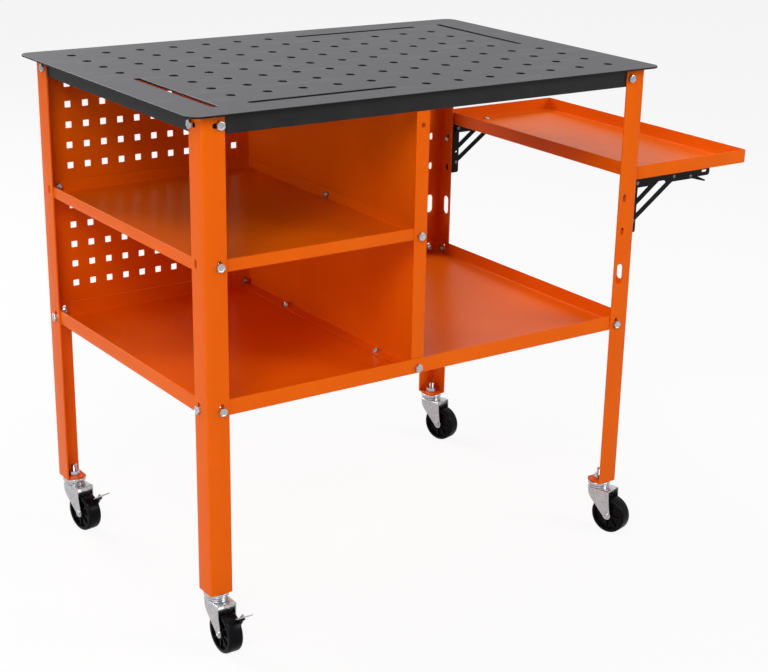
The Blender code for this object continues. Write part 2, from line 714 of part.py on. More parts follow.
def caster_fork(name, swivel):
    """The fork: a crown below the race and a leaning cheek each side, trailing towards its own -Y."""
    crown_low = CROWN_TOP - FORK_THICK
    back = CROWN_BACK - CROWN_HALF
    outline = arc((0, back), CROWN_HALF, 0, 180, 10)
    outline += arc((CROWN_CORNER - CROWN_HALF, CROWN_CORNER - CROWN_FRONT), CROWN_CORNER, 180, 270, 3)
    outline += arc((CROWN_HALF - CROWN_CORNER, CROWN_CORNER - CROWN_FRONT), CROWN_CORNER, 270, 360, 3)
    bore = circle((0, 0), STEM_RADIUS + BORE_PLAY, PIN_STEPS)
    fork = meshed(plate(f"{name}_caster_fork", [outline, bore], FORK_THICK))
    place(fork, ZINC, swivel, (0, 0, crown_low + FORK_THICK / 2))
    axle = Vector((-TRAIL, -AXLE_DROP))
    top = crown_low + FORK_THICK * 0.6
    edge = [(CROWN_CORNER - CROWN_FRONT, top)]
    edge += [tuple(axle + Vector(point)) for point in arc((0, 0), CHEEK_TIP, 180, 320, 6)]
    edge += [tuple(CHEEK_WAIST), (CHEEK_BACK, top)]
    cheek_loop = [(y - axle[0], z - axle[1]) for y, z in edge]
    lift = -(crown_low + FORK_THICK / 2)
    axle_place = (0, axle[0], axle[1] + lift)
    inset = CHEEK_FACE - CHEEK_THICK / 2
    for side, label in ((-1, "left"), (1, "right")):
        cheek = meshed(plate(f"{name}_{label}_cheek", [cheek_loop], CHEEK_THICK))
        lean = Matrix.Rotation(side * CHEEK_LEAN, 3, "Y") @ Euler(FACING_SIDE).to_matrix()
        spot = (side * inset, axle_place[1], axle_place[2])
        combine(fork, cheek, "UNION", fork, spot, lean.to_euler())
    hole = circle((0, 0), AXLE_RADIUS + BORE_PLAY, PIN_STEPS)
    drill = meshed(plate(f"{name}_axle_drill", [hole], CROWN_HALF * 3))
    combine(fork, drill, "DIFFERENCE", fork, axle_place, FACING_SIDE)


def caster_wheel(name, swivel, braked):
    """The wheel and its axle, turned about the axle line. A brake lever needs a longer axle."""
    hub, rim = HUB_WIDTH / 2, WHEEL_WIDTH / 2
    bore = AXLE_RADIUS + BORE_PLAY
    side = [(bore, hub), (HUB_RADIUS, hub), (HUB_RADIUS, rim - RECESS), (RIM_INNER, rim - RECESS)]
    side += [(RIM_INNER + TREAD_EDGE, rim), (WHEEL_RADIUS - TREAD_EDGE, rim)]
    side.append((WHEEL_RADIUS, rim - TREAD_EDGE))
    profile = side + [(radius, -height) for radius, height in reversed(side)]
    axle_place = (0, -TRAIL, -AXLE_DROP)
    wheel = turned(f"{name}_wheel", profile, WHEEL_STEPS, closed=True)
    place(wheel, BLACK_RUBBER, swivel, axle_place, ALONG_X)
    reach = AXLE_REACH
    far = LEVER_FACE + LEVER_THICK + GAP if braked else reach
    pin = [(0, far + AXLE_HEAD), (AXLE_HEAD_RADIUS, far + AXLE_HEAD)]
    pin += [(AXLE_HEAD_RADIUS, far), (AXLE_RADIUS, far)]
    if braked:
        shoulder = LEVER_FACE - GAP
        pin += [(AXLE_RADIUS, shoulder), (AXLE_HEAD_RADIUS, shoulder)]
        pin += [(AXLE_HEAD_RADIUS, reach), (AXLE_RADIUS, reach)]
    pin += [(AXLE_RADIUS, -reach), (AXLE_HEAD_RADIUS, -reach)]
    pin += [(AXLE_HEAD_RADIUS, -reach - AXLE_HEAD), (0, -reach - AXLE_HEAD)]
    place(turned(f"{name}_axle", pin, PIN_STEPS), ZINC, swivel, axle_place, ALONG_X)


def band(start, end, low, high):
    """A loop that lies between two distances left of the line from start to end."""
    heading = (Vector(end) - Vector(start)).normalized()
    left = Vector((-heading[1], heading[0]))
    edges = ((start, low), (end, low), (end, high), (start, high))
    return [tuple(Vector(point) + left * offset) for point, offset in edges]


def brake(name, swivel):
    """The lever beside the fork with its tab over the tread, and the shoe below the tab."""
    lever = new_empty(f"{name}_brake", swivel, (0, -TRAIL, -AXLE_DROP))
    bore = circle((0, 0), AXLE_RADIUS + BORE_PLAY, PIN_STEPS)
    eye = arc((0, 0), LEVER_EYE, 190, 390, 8)
    along = LEVER_BASE.normalized()
    square = Vector((along[1], -along[0])) * LEVER_HALF_WIDTH
    end = LEVER_BASE + along * LEVER_HALF_WIDTH
    outline = eye + [tuple(end + square), tuple(end - square)]
    bar = meshed(plate(f"{name}_brake_lever", [outline, bore], LEVER_THICK))
    place(bar, GREY_PAINT, lever, (LEVER_FACE + LEVER_THICK / 2, 0, 0), FACING_SIDE)
    tab_loop = band(LEVER_BASE, TAB_END, -TAB_HALF, TAB_HALF)
    tab = meshed(plate(f"{name}_brake_tab", [tab_loop], TAB_WIDTH))
    middle = LEVER_FACE + LEVER_THICK - TAB_WIDTH / 2
    combine(bar, tab, "UNION", lever, (middle, 0, 0), FACING_SIDE)
    heading = (TAB_END - LEVER_BASE).normalized()
    low = TAB_HALF + GAP
    loop = band(LEVER_BASE, LEVER_BASE + heading * SHOE_LENGTH, low, low + SHOE_DEPTH)
    shoe = plate(f"{name}_brake_shoe", [loop], SHOE_WIDTH)
    place(shoe, BLACK_RUBBER, lever, (LEVER_FACE - GAP - SHOE_WIDTH / 2, 0, 0), FACING_SIDE)


def caster(name, side_x, side_y, turn, braked, root):
    place_x = side_x * (LEG_X - STEM_INSET)
    place_y = side_y * (LEG_Y - STEM_INSET)
    mount = new_empty(f"{name}_caster_mount", root, (place_x, place_y, FOOT_Z))
    swivel = new_empty(f"{name}_swivel", mount, (0, 0, 0), turn)
    caster_stem(name, mount)
    caster_fork(name, swivel)
    caster_wheel(name, swivel, braked)
    if braked:
        brake(name, swivel)


def tight_box():
    """The lowest and highest corner of every piece as it stands."""
    bpy.context.view_layer.update()
    graph = bpy.context.evaluated_depsgraph_get()
    points = []
    for piece in PARTS.objects:
        if piece.type == "EMPTY":
            continue
        evaluated = piece.evaluated_get(graph)
        mesh = evaluated.to_mesh()
        points += [evaluated.matrix_world @ vert.co for vert in mesh.vertices]
        evaluated.to_mesh_clear()
    low = Vector(min(point[axis] for point in points) for axis in range(3))
    high = Vector(max(point[axis] for point in points) for axis in range(3))
    return low, high


def build():
    root = new_empty("work_table", None, (0, 0, 0))
    table_top(root)
    aprons(root)
    for name, side_x, side_y, turn, braked in CORNERS:
        leg(name, side_x, side_y, root)
        caster(name, side_x, side_y, turn, braked, root)
    shelves(root)
    divider(root)
    back_panel(root)
    hinge = new_empty("tray_hinge", root, (PIVOT_X, 0, PIVOT_Z))
    folding_tray(hinge)
    for name, side_y in (("front", -1), ("back", 1)):
        folding_bracket(name, side_y, root, hinge)
    low, high = tight_box()
    root.location = (-(low[0] + high[0]) / 2, -(low[1] + high[1]) / 2, -low[2])


tidy_scene()
PARTS = new_collection("folding_work_table")
CUTTERS = new_collection("cutters")
ORANGE_PAINT = new_material("orange_paint", (0.80, 0.13, 0.005), 0.38, 0.0)
BLACK_PAINT = new_material("black_paint", (0.016, 0.016, 0.018), 0.42, 0.0)
DARK_TOP = new_material("dark_top", (0.19, 0.18, 0.205), 0.5, 0.2)
ZINC = new_material("zinc_plate", (0.62, 0.64, 0.66), 0.32, 1.0)
BLACK_RUBBER = new_material("black_wheel", (0.014, 0.014, 0.015), 0.45, 0.0)
GREY_PAINT = new_material("grey_lever", (0.45, 0.45, 0.46), 0.4, 0.0)
build()
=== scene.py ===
import json
import math

import bmesh
import bpy
from mathutils import Matrix, Vector


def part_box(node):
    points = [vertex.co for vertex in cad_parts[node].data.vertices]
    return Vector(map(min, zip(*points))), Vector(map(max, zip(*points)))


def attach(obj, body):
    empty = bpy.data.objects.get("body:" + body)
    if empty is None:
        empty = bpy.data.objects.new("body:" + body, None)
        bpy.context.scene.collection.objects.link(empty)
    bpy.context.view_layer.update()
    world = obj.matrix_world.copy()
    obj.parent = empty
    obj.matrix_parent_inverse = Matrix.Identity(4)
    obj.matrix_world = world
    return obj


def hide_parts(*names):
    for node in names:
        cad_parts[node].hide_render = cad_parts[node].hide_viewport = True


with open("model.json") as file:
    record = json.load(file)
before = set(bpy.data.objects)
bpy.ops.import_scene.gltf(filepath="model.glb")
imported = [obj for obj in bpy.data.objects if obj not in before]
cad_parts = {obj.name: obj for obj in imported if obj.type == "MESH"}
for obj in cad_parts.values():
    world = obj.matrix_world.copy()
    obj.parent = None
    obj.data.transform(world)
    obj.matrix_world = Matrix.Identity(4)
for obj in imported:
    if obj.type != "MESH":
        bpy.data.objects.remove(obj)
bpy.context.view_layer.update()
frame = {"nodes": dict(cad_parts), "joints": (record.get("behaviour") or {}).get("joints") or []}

JOINTS = {joint["name"]: joint for joint in frame["joints"]}
CORNERS = ("front_left", "front_right", "back_left", "back_right")
X, Y, Z = Vector((1, 0, 0)), Vector((0, 1, 0)), Vector((0, 0, 1))
NEAR = 1e-5
FLAT = 0.995
FOLD_ANGLE = 0.5

TOP_LOW, TOP_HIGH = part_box("table_top")
UNDER_TOP = (TOP_LOW + TOP_HIGH) / 2
UNDER_TOP.z = TOP_LOW.z


def at(x, y, z):
    """Millimetres from the middle of the top's underside, as the table was measured."""
    return UNDER_TOP + Vector((x, y, z)) * 0.001


# ---------------------------------------------------------------- modelling by hand


def deselect():
    if bpy.context.mode != "OBJECT":
        bpy.ops.object.mode_set(mode="OBJECT")
    bpy.ops.object.select_all(action="DESELECT")


def take(piece):
    """Selects one piece alone and makes it the one that operators act on."""
    deselect()
    piece.select_set(True)
    bpy.context.view_layer.objects.active = piece
    return piece


def started(name):
    """Names the primitive that was just added, with its place in its mesh."""
    bpy.ops.object.transform_apply(location=True, rotation=True, scale=True)
    piece = bpy.context.object
    piece.name = name
    piece.data.name = name
    return piece


def add_block(name, low, high):
    deselect()
    middle, size = (low + high) / 2, high - low
    bpy.ops.mesh.primitive_cube_add(size=1, location=middle, scale=size)
    return started(name)


def turn_to(axis, run=None):
    """The turn that lays a rod's own Z along axis, and its own X along run."""
    if run is None:
        return Z.rotation_difference(axis).to_euler()
    return Matrix((run, axis.cross(run), axis)).transposed().to_euler()


def add_rod(name, start, end, radius, sides, run=None):
    deselect()
    axis = (end - start).normalized()
    bpy.ops.mesh.primitive_cylinder_add(
        vertices=sides,
        radius=radius,
        depth=(end - start).length,
        location=(start + end) / 2,
        rotation=turn_to(axis, run),
    )
    return started(name)


def edit(piece):
    take(piece)
    bpy.ops.object.mode_set(mode="EDIT")


def pick(kind, test):
    """In edit mode, selects the points, edges or faces that pass the test."""
    bpy.ops.mesh.select_mode(type=kind)
    bpy.ops.mesh.select_all(action="DESELECT")
    mesh = bmesh.from_edit_mesh(bpy.context.object.data)
    groups = {"VERT": mesh.verts, "EDGE": mesh.edges, "FACE": mesh.faces}
    for item in groups[kind]:
        if test(item):
            item.select_set(True)
    mesh.select_flush_mode()
    bmesh.update_edit_mesh(bpy.context.object.data)


def facing(direction):
    """The test for flat faces that look that way, without the rounded ones beside them."""
    return lambda face: face.normal.dot(direction) > FLAT


def running_along(axis):
    """The test for edges that run along an axis."""
    return lambda edge: abs((edge.verts[0].co - edge.verts[1].co).dot(axis)) > NEAR


def square_to(axis):
    """The test for edges that lie square to an axis, such as a rod's two rims."""
    return lambda edge: len({round(vert.co.dot(axis), 6) for vert in edge.verts}) == 1


def above(height):
    """The test for edges that lie wholly above a height."""
    return lambda edge: min(vert.co.z for vert in edge.verts) > height


def middle_of(item):
    return sum((vert.co for vert in item.verts), Vector()) / len(item.verts)


def extrude(move):
    bpy.ops.mesh.extrude_region_move(TRANSFORM_OT_translate={"value": move})


def round_over(offset, segments, affect="EDGES"):
    bpy.ops.mesh.bevel(offset=offset, segments=segments, affect=affect, profile=0.5)


def modify(piece, kind, **settings):
    """Adds a modifier and applies it."""
    take(piece)
    step = piece.modifiers.new(kind.lower(), kind)
    for name, value in settings.items():
        setattr(step, name, value)
    bpy.ops.object.modifier_apply(modifier=step.name)


def joined(name, pieces):
    take(pieces[0])
    for piece in pieces:
        piece.select_set(True)
    if len(pieces) > 1:
        bpy.ops.object.join()
    pieces[0].name = name
    pieces[0].data.name = name
    return pieces[0]


def throw_away(*pieces):
    for piece in pieces:
        bpy.data.objects.remove(piece, do_unlink=True)


def cut(piece, tools):
    """Cuts all the tools from the piece at once, and throws them away."""
    tool = joined("cutter", tools)
    modify(piece, "BOOLEAN", operation="DIFFERENCE", object=tool, solver="EXACT")
    throw_away(tool)


def ease_edges(piece, width, angle=40):
    """Breaks the sharp edges by a fine chamfer, as deburred sheet has them."""
    limit = math.radians(angle)
    modify(piece, "BEVEL", width=width, segments=1, limit_method="ANGLE", angle_limit=limit)


def smoothed(piece, angle=32):
    take(piece)
    bpy.ops.object.shade_smooth_by_angle(angle=math.radians(angle))
    return piece


def another(piece, name, place):
    """A copy with its own mesh, set in place by a matrix."""
    copy = bpy.data.objects.new(name, piece.data.copy())
    copy.data.name = name
    copy.data.transform(place)
    bpy.context.scene.collection.objects.link(copy)
    return copy


def dress(piece, finish, body, slot, *nodes):
    """Gives the piece its finish, and says which body it rides on and what it stands for."""
    piece.data.materials.clear()
    piece.data.materials.append(finish)
    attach(piece, body)
    if nodes:
        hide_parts(*nodes)
    return piece


# ---------------------------------------------------------------- finishes


class Level:
    """A number that changes over a surface: a socket, with the sums that the finishes use."""

    def __init__(self, finish, socket):
        self.finish = finish
        self.socket = socket

    def sum_of(self, operation, first, second):
        return self.finish.node("ShaderNodeMath", {"operation": operation}, {0: first, 1: second})

    def __add__(self, other):
        return self.sum_of("ADD", self, other)

    def __radd__(self, other):
        return self.sum_of("ADD", other, self)

    def __sub__(self, other):
        return self.sum_of("SUBTRACT", self, other)

    def __rsub__(self, other):
        return self.sum_of("SUBTRACT", other, self)

    def __mul__(self, other):
        return self.sum_of("MULTIPLY", self, other)

    def __rmul__(self, other):
        return self.sum_of("MULTIPLY", other, self)


class Finish:
    """One material: its nodes are all made by node()."""

    def __init__(self, name):
        self.material = bpy.data.materials.new(name)
        self.material.use_nodes = True
        self.tree = self.material.node_tree
        self.shader = self.tree.nodes["Principled BSDF"]
        self.place = self.node("ShaderNodeTexCoord", {}, {}, "Object")

    def node(self, kind, settings, sockets, output=0):
        """Any node: its type, its settings, then the values or links of its sockets."""
        made = self.tree.nodes.new(kind)
        for name, value in settings.items():
            if name == "stops":
                for stop, (position, shade) in zip(made.color_ramp.elements, value):
                    stop.position = position
                    stop.color = (shade, shade, shade, 1)
            else:
                setattr(made, name, value)
        for name, value in sockets.items():
            self.feed(made.inputs[name], value)
        return Level(self, made.outputs[output])

    def feed(self, socket, value):
        if isinstance(value, Level):
            self.tree.links.new(value.socket, socket)
        else:
            socket.default_value = value

    def speckle(self, scale, detail=2.0, stretch=(1, 1, 1)):
        """Soft noise, from 0 to 1, with about that many blotches to the metre."""
        spread = self.node("ShaderNodeMapping", {}, {"Vector": self.place, "Scale": stretch})
        sockets = {"Vector": spread, "Scale": scale, "Detail": detail}
        return self.node("ShaderNodeTexNoise", {}, sockets, "Fac")

    def between(self, level, low, high):
        """0 below low, 1 above high, and a straight rise between them."""
        return self.node("ShaderNodeValToRGB", {"stops": ((low, 0.0), (high, 1.0))}, {"Fac": level})

    def blend(self, level, first, second):
        sockets = {0: level, 6: first, 7: second}
        return self.node("ShaderNodeMix", {"data_type": "RGBA"}, sockets, 2)

    def raised(self, height, strength, distance):
        sockets = {"Height": height, "Strength": strength, "Distance": distance}
        return self.node("ShaderNodeBump", {}, sockets, "Normal")

    def shade(self, **sockets):
        """Sets the shader's own sockets, whose names are written with underscores."""
        for name, value in sockets.items():
            self.feed(self.shader.inputs[name.replace("_", " ")], value)
        return self.material


def colour(red, green, blue):
    return (red, green, blue, 1)


def orange_powder_coat():
    """Glossy baked paint with a faint peel, small shifts of colour and rubbed patches."""
    coat = Finish("orange_powder_coat")
    drift = coat.between(coat.speckle(5.0, 3.0), 0.3, 0.7)
    rubbed = coat.between(coat.speckle(22.0, 6.0, (1, 1, 0.35)), 0.55, 0.8)
    grain = coat.speckle(2600.0, 1.0)
    peel = coat.speckle(460.0, 2.0)
    body = coat.blend(drift, colour(0.79, 0.114, 0.0010), colour(0.84, 0.131, 0.0016))
    body = coat.blend(0.10 * rubbed, body, colour(0.88, 0.19, 0.008))
    coat.shade(Specular_IOR_Level=0.07)
    return coat.shade(
        Base_Color=body,
        Roughness=0.27 + 0.08 * rubbed + 0.06 * grain,
        Normal=coat.raised(peel + 0.25 * grain, 0.10, 0.0006),
    )


def black_enamel():
    """Satin black paint with a fine texture and a little grey where it is rubbed."""
    coat = Finish("black_enamel")
    rubbed = coat.between(coat.speckle(30.0, 6.0, (1, 1, 0.5)), 0.5, 0.8)
    grain = coat.speckle(1500.0, 2.0)
    body = coat.blend(rubbed, colour(0.007, 0.007, 0.008), colour(0.012, 0.012, 0.013))
    coat.shade(Specular_IOR_Level=0.22)
    return coat.shade(
        Base_Color=body,
        Roughness=0.40 + 0.10 * rubbed + 0.06 * grain,
        Normal=coat.raised(grain, 0.18, 0.0003),
    )


def bracket_black_with_painted_shade():
    """The brackets' own smoother, darker black paint, made darker still as painted shade from the
    tray above them.
    """
    coat = Finish("bracket_black_with_painted_shade")
    rubbed = coat.between(coat.speckle(60.0, 6.0), 0.5, 0.8)
    grain = coat.speckle(1700.0, 2.0)
    # Partly painted shade: this black is deeper than the other black paint, partly for the
    # brackets' own paint and partly for the shade that the tray casts on them.
    body = coat.blend(rubbed, colour(0.003, 0.003, 0.004), colour(0.007, 0.007, 0.008))
    coat.shade(Specular_IOR_Level=0.12)
    return coat.shade(
        Base_Color=body,
        Roughness=0.32 + 0.12 * rubbed + 0.06 * grain,
        Normal=coat.raised(grain, 0.12, 0.0003),
    )


def worktop_grey():
    """The top's dark grey coat: fine and matt, faintly rubbed, with painted shade on the walls of
    the holes and on the plate's edges.
    """
    coat = Finish("worktop_grey")
    height = coat.node("ShaderNodeSeparateXYZ", {}, {"Vector": coat.place}, "Z")
    depth = (TOP_HIGH.z - height) * (1 / (TOP_HIGH.z - TOP_LOW.z))
    # Painted shade: below the top face the walls of the holes and the plate's edges are made near
    # black and metallic, so that they show as the shade inside the holes.
    painted_hole_wall_shade = 0.75 * coat.between(depth, 0.10, 0.25)
    drift = coat.between(coat.speckle(4.0, 4.0), 0.3, 0.75)
    rubbed = coat.between(coat.speckle(34.0, 8.0, (0.3, 1, 1)), 0.52, 0.85)
    grain = coat.speckle(1900.0, 2.0)
    fleck = coat.between(grain, 0.35, 0.7)
    body = coat.blend(drift, colour(0.010, 0.009, 0.012), colour(0.014, 0.0125, 0.016))
    body = coat.blend(0.16 * fleck, body, colour(0.045, 0.042, 0.048))
    body = coat.blend(0.10 * rubbed, body, colour(0.08, 0.077, 0.085))
    body = coat.blend(painted_hole_wall_shade, body, colour(0.003, 0.003, 0.003))
    coat.shade(Specular_Tint=colour(0.97, 0.93, 1.0))
    return coat.shade(
        Base_Color=body,
        Metallic=painted_hole_wall_shade,
        Roughness=0.46 + 0.08 * fleck - 0.06 * rubbed,
        Normal=coat.raised(grain, 0.22, 0.0003),
    )


def bright_zinc():
    """Zinc plating: bright metal with soft cloudy patches and fine drawn lines."""
    plate = Finish("bright_zinc")
    cloud = plate.between(plate.speckle(140.0, 4.0), 0.35, 0.7)
    lines = plate.speckle(900.0, 2.0, (1, 1, 0.12))
    body = plate.blend(cloud, colour(0.44, 0.455, 0.48), colour(0.56, 0.57, 0.585))
    return plate.shade(
        Metallic=1.0,
        Base_Color=body,
        Roughness=0.20 + 0.10 * cloud + 0.06 * lines,
        Normal=plate.raised(lines, 0.06, 0.0002),
    )


def dull_zinc():
    """Zinc gone dark and dull, as on old rivets."""
    plate = Finish("dull_zinc")
    cloud = plate.between(plate.speckle(300.0, 4.0), 0.35, 0.7)
    body = plate.blend(cloud, colour(0.11, 0.11, 0.12), colour(0.20, 0.20, 0.21))
    return plate.shade(
        Metallic=1.0,
        Base_Color=body,
        Roughness=0.40 + 0.14 * cloud,
        Normal=plate.raised(cloud, 0.06, 0.0002),
    )


def black_wheel_plastic():
    """Hard black plastic, greyer and duller in the patches that have rolled on the floor."""
    plastic = Finish("black_wheel_plastic")
    worn = plastic.between(plastic.speckle(90.0, 6.0), 0.45, 0.8)
    grain = plastic.speckle(1400.0, 2.0)
    body = plastic.blend(worn, colour(0.002, 0.002, 0.003), colour(0.005, 0.005, 0.006))
    plastic.shade(Specular_IOR_Level=0.07)
    return plastic.shade(
        Base_Color=body,
        Roughness=0.22 + 0.14 * worn + 0.05 * grain,
        Normal=plastic.raised(grain + worn, 0.10, 0.0003),
    )


def grey_lever_paint():
    """Light grey lever paint with a faint grain."""
    coat = Finish("grey_lever_paint")
    rubbed = coat.between(coat.speckle(160.0, 5.0), 0.5, 0.8)
    grain = coat.speckle(1800.0, 2.0)
    body = coat.blend(rubbed, colour(0.44, 0.44, 0.45), colour(0.56, 0.56, 0.56))
    return coat.shade(
        Base_Color=body,
        Roughness=0.36 + 0.12 * rubbed + 0.05 * grain,
        Normal=coat.raised(grain, 0.12, 0.0003),
    )


ORANGE = orange_powder_coat()
BLACK = black_enamel()
GREY_TOP = worktop_grey()
ZINC = bright_zinc()
WHEEL_BLACK = black_wheel_plastic()
LEVER_GREY = grey_lever_paint()
BRACKET_BLACK_WITH_PAINTED_SHADE = bracket_black_with_painted_shade()
DULL_ZINC = dull_zinc()

# ---------------------------------------------------------------- the worktop

TOP_CORNER = 0.020
TOP_EASE = 0.0004
# The drills' middle, from which they reach right through the plate
DRILL_LEVEL, DRILL_HALF = -1.5, 0.01
HOLE_RADIUS = 0.008
SLOT_WIDTH = 0.012
HOLE_PITCH = (63.5, 60.7)
HOLES_EACH_WAY = (6, 4)
# The clamp slots' end points, in steps of the hole pattern
CLAMP_SLOTS = (((-1, -4), (-5, -4)), ((1, 4), (5, 4)), ((6, 0), (6, 4)), ((-6, 0), (-6, -4)))


def slot_tool(start, end, through, width, half=DRILL_HALF, sides=24):
    """A cutter for a long hole: a rod whose two halves are pulled apart along the slot."""
    run = (end - start).normalized()
    middle = (start + end) / 2
    reach = through * half
    first_side = Matrix.Rotation(math.pi / sides, 3, through) @ run
    tool = add_rod("slot", middle - reach, middle + reach, width / 2, sides, first_side)
    edit(tool)
    for sign in (-1, 1):
        pick("VERT", lambda vert: sign * (vert.co - middle).dot(run) > NEAR)
        bpy.ops.transform.translate(value=sign * run * (end - start).length / 2)
    deselect()
    return tool


def lattice(step_x, step_y):
    """A place in the hole pattern, counted in steps from its middle hole."""
    return at(step_x * HOLE_PITCH[0], step_y * HOLE_PITCH[1], DRILL_LEVEL)


def on_clamp_slot(step_x, step_y):
    for start, end in CLAMP_SLOTS:
        across = sorted((start[0], end[0]))
        along = sorted((start[1], end[1]))
        if across[0] <= step_x <= across[1] and along[0] <= step_y <= along[1]:
            return True
    return False


def worktop():
    top = add_block("worktop", TOP_LOW, TOP_HIGH)
    edit(top)
    pick("EDGE", running_along(Z))
    round_over(TOP_CORNER, 10)
    deselect()
    middle, reach = lattice(0, 0), Z * DRILL_HALF
    drill = add_rod("drill", middle - reach, middle + reach, HOLE_RADIUS, 24)
    tools = [slot_tool(lattice(*start), lattice(*end), Z, SLOT_WIDTH) for start, end in CLAMP_SLOTS]
    reach_x, reach_y = HOLES_EACH_WAY
    for step_x in range(-reach_x, reach_x + 1):
        for step_y in range(-reach_y, reach_y + 1):
            if not on_clamp_slot(step_x, step_y):
                move = Matrix.Translation(lattice(step_x, step_y) - middle)
                tools.append(another(drill, "drill", move))
    throw_away(drill)
    cut(top, tools)
    ease_edges(top, TOP_EASE)
    dress(smoothed(top), GREY_TOP, "frame", "dark_top", "table_top")


# ---------------------------------------------------------------- folded sheet pieces


def folded(name, low, high, open_sides, sheet, bend, corner=0.0, reshape=None):
    """Folded sheet: a block with some sides taken off and its folds rounded. The sheet lies inside.

    Free corners are rounded by corner, after reshape has changed the open shell's edges.
    """
    piece = add_block(name, low, high)
    edit(piece)
    pick("FACE", lambda face: any(facing(side)(face) for side in open_sides))
    bpy.ops.mesh.delete(type="FACE")
    if reshape:
        reshape()
    if corner:
        pick("VERT", lambda vert: len(vert.link_faces) == 1)
        round_over(corner, 5, "VERTICES")
    pick("EDGE", lambda edge: len(edge.link_faces) == 2 and edge.calc_face_angle() > FOLD_ANGLE)
    round_over(bend, 4)
    deselect()
    modify(piece, "SOLIDIFY", thickness=sheet, offset=-1, use_even_offset=True)
    return piece


SHEET = 0.0012
SHEET_BEND = 0.0022
SHEET_EASE = 0.00025
DIVIDER_HOLE = 0.004
DIVIDER_BOLT_X = -32.5
DIVIDER_HIGH_DROP, DIVIDER_MID_DROP = -53, -232


def hole_tool(centre, through, radius, half=0.006, sides=20):
    return add_rod("hole", centre - through * half, centre + through * half, radius, sides)


def shelves():
    for node, name, body, bolt_slots in (
        ("lower_shelf", "lower_shelf_pan", "frame", LOW_SHELF_SLOTS),
        ("mid_shelf", "mid_shelf_pan", "frame", MID_SHELF_SLOTS),
        ("folding_tray", "side_tray_pan", "tray", {}),
    ):
        low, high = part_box(node)
        pan = folded(name, low, high, (Z,), SHEET, SHEET_BEND)
        tools = []
        for corner, slots in bolt_slots.items():
            tools += leg_slot_tools(*side_of(corner), slots)
        if tools:
            cut(pan, tools)
        ease_edges(pan, SHEET_EASE)
        dress(smoothed(pan), ORANGE, body, "orange_paint", node)


def divider_panel():
    low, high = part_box("divider")
    panel = folded("divider_panel", low, high, (-X,), SHEET, SHEET_BEND)
    tools = []
    for drop in (DIVIDER_HIGH_DROP, DIVIDER_MID_DROP):
        for y in (low.y, high.y):
            spot = at(DIVIDER_BOLT_X, 0, drop)
            spot.y = y
            tools.append(hole_tool(spot, Y, DIVIDER_HOLE))
    cut(panel, tools)
    ease_edges(panel, SHEET_EASE)
    dress(smoothed(panel), ORANGE, "frame", "orange_paint", "divider")


PEG_HOLE, PEG_CORNER = 0.011, 0.001
PEG_PITCH = (0.0323, 0.0354)
PEG_START = (0.0485, 0.0210)
PEG_MARGIN = 0.026
PUNCH_HALF = 0.006
PEG_EASE = 0.0002


def perforated_panel():
    """The sheet behind the left bays. Its square holes are counted from its upper left corner."""
    low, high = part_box("back_panel")
    panel = add_block("perforated_panel", low, high)
    start = Vector((low.x + PEG_START[0], low.y, high.z - PEG_START[1]))
    half = Vector((PEG_HOLE / 2, PUNCH_HALF, PEG_HOLE / 2))
    punch = add_block("punch", start - half, start + half)
    edit(punch)
    pick("EDGE", running_along(Y))
    round_over(PEG_CORNER, 3)
    deselect()
    columns = int((high.x - low.x - PEG_START[0] - PEG_MARGIN) / PEG_PITCH[0]) + 1
    rows = int((high.z - low.z - PEG_START[1] - PEG_MARGIN) / PEG_PITCH[1]) + 1
    bolt_spot = at(DIVIDER_BOLT_X, NUT_FACE_Y, DIVIDER_MID_DROP)
    tools = [hole_tool(bolt_spot, Y, DIVIDER_HOLE)]
    for column in range(columns):
        for row in range(rows):
            step = Vector((column * PEG_PITCH[0], 0, -row * PEG_PITCH[1]))
            tools.append(another(punch, "punch", Matrix.Translation(step)))
    throw_away(punch)
    cut(panel, tools)
    ease_edges(panel, PEG_EASE)
    dress(smoothed(panel), ORANGE, "frame", "orange_paint", "back_panel")


def aprons():
    """The black skirt under the top: a flange against the top, folded down outside."""
    for side, outward, run in (("front", -Y, X), ("back", Y, X), ("left", -X, Y), ("right", X, Y)):
        low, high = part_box(f"{side}_apron")
        skirt = folded(f"{side}_skirt", low, high, (-Z, run, -run, -outward), SHEET, SHEET_BEND)
        ease_edges(skirt, SHEET_EASE)
        dress(smoothed(skirt), BLACK, "frame", "black_paint", f"{side}_apron")


# ---------------------------------------------------------------- legs

LEG_THICK = 0.0025
LEG_BEND = 0.0028
LEG_EASE = 0.0004
LEG_HOLE_INSET = 26
FOOT_CLIP = 0.005
CLIP_HALF = Vector((0.02, 0.02, 0.008))
STEM_HOLE = 0.0058
LEG_FACE_X, LEG_FACE_Y = 426, 287
# Slots in both flanges: height, width, length in millimetres, and whether the slot stands upright
LEG_SLOTS = ((-16, 8, 16, False), (-224, 8, 14, True), (-453, 8, 20, True))
TRAY_LEG_SLOTS = ((-284, 8, 14, True), (-362, 16, 37, True))
LOW_SHELF_SLOTS = {corner: ((-451, 8, 14, True),) for corner in CORNERS}
MID_SHELF_SLOTS = {corner: ((-224, 8, 14, True),) for corner in CORNERS if "left" in corner}


def side_of(corner):
    """-1 or 1 for left or right, and for front or back."""
    return (1 if "right" in corner else -1), (1 if "back" in corner else -1)


def leg_slot_tools(side_x, side_y, slots):
    tools = []
    for drop, width, length, upright in slots:
        for through, run in ((Y, X), (X, Y)):
            spot = at(side_x * LEG_FACE_X, side_y * LEG_FACE_Y, drop)
            spot -= run * (side_x if run == X else side_y) * LEG_HOLE_INSET * 0.001
            line = (Z if upright else run) * (length - width) * 0.0005
            tools.append(slot_tool(spot - line, spot + line, through, width * 0.001))
    return tools


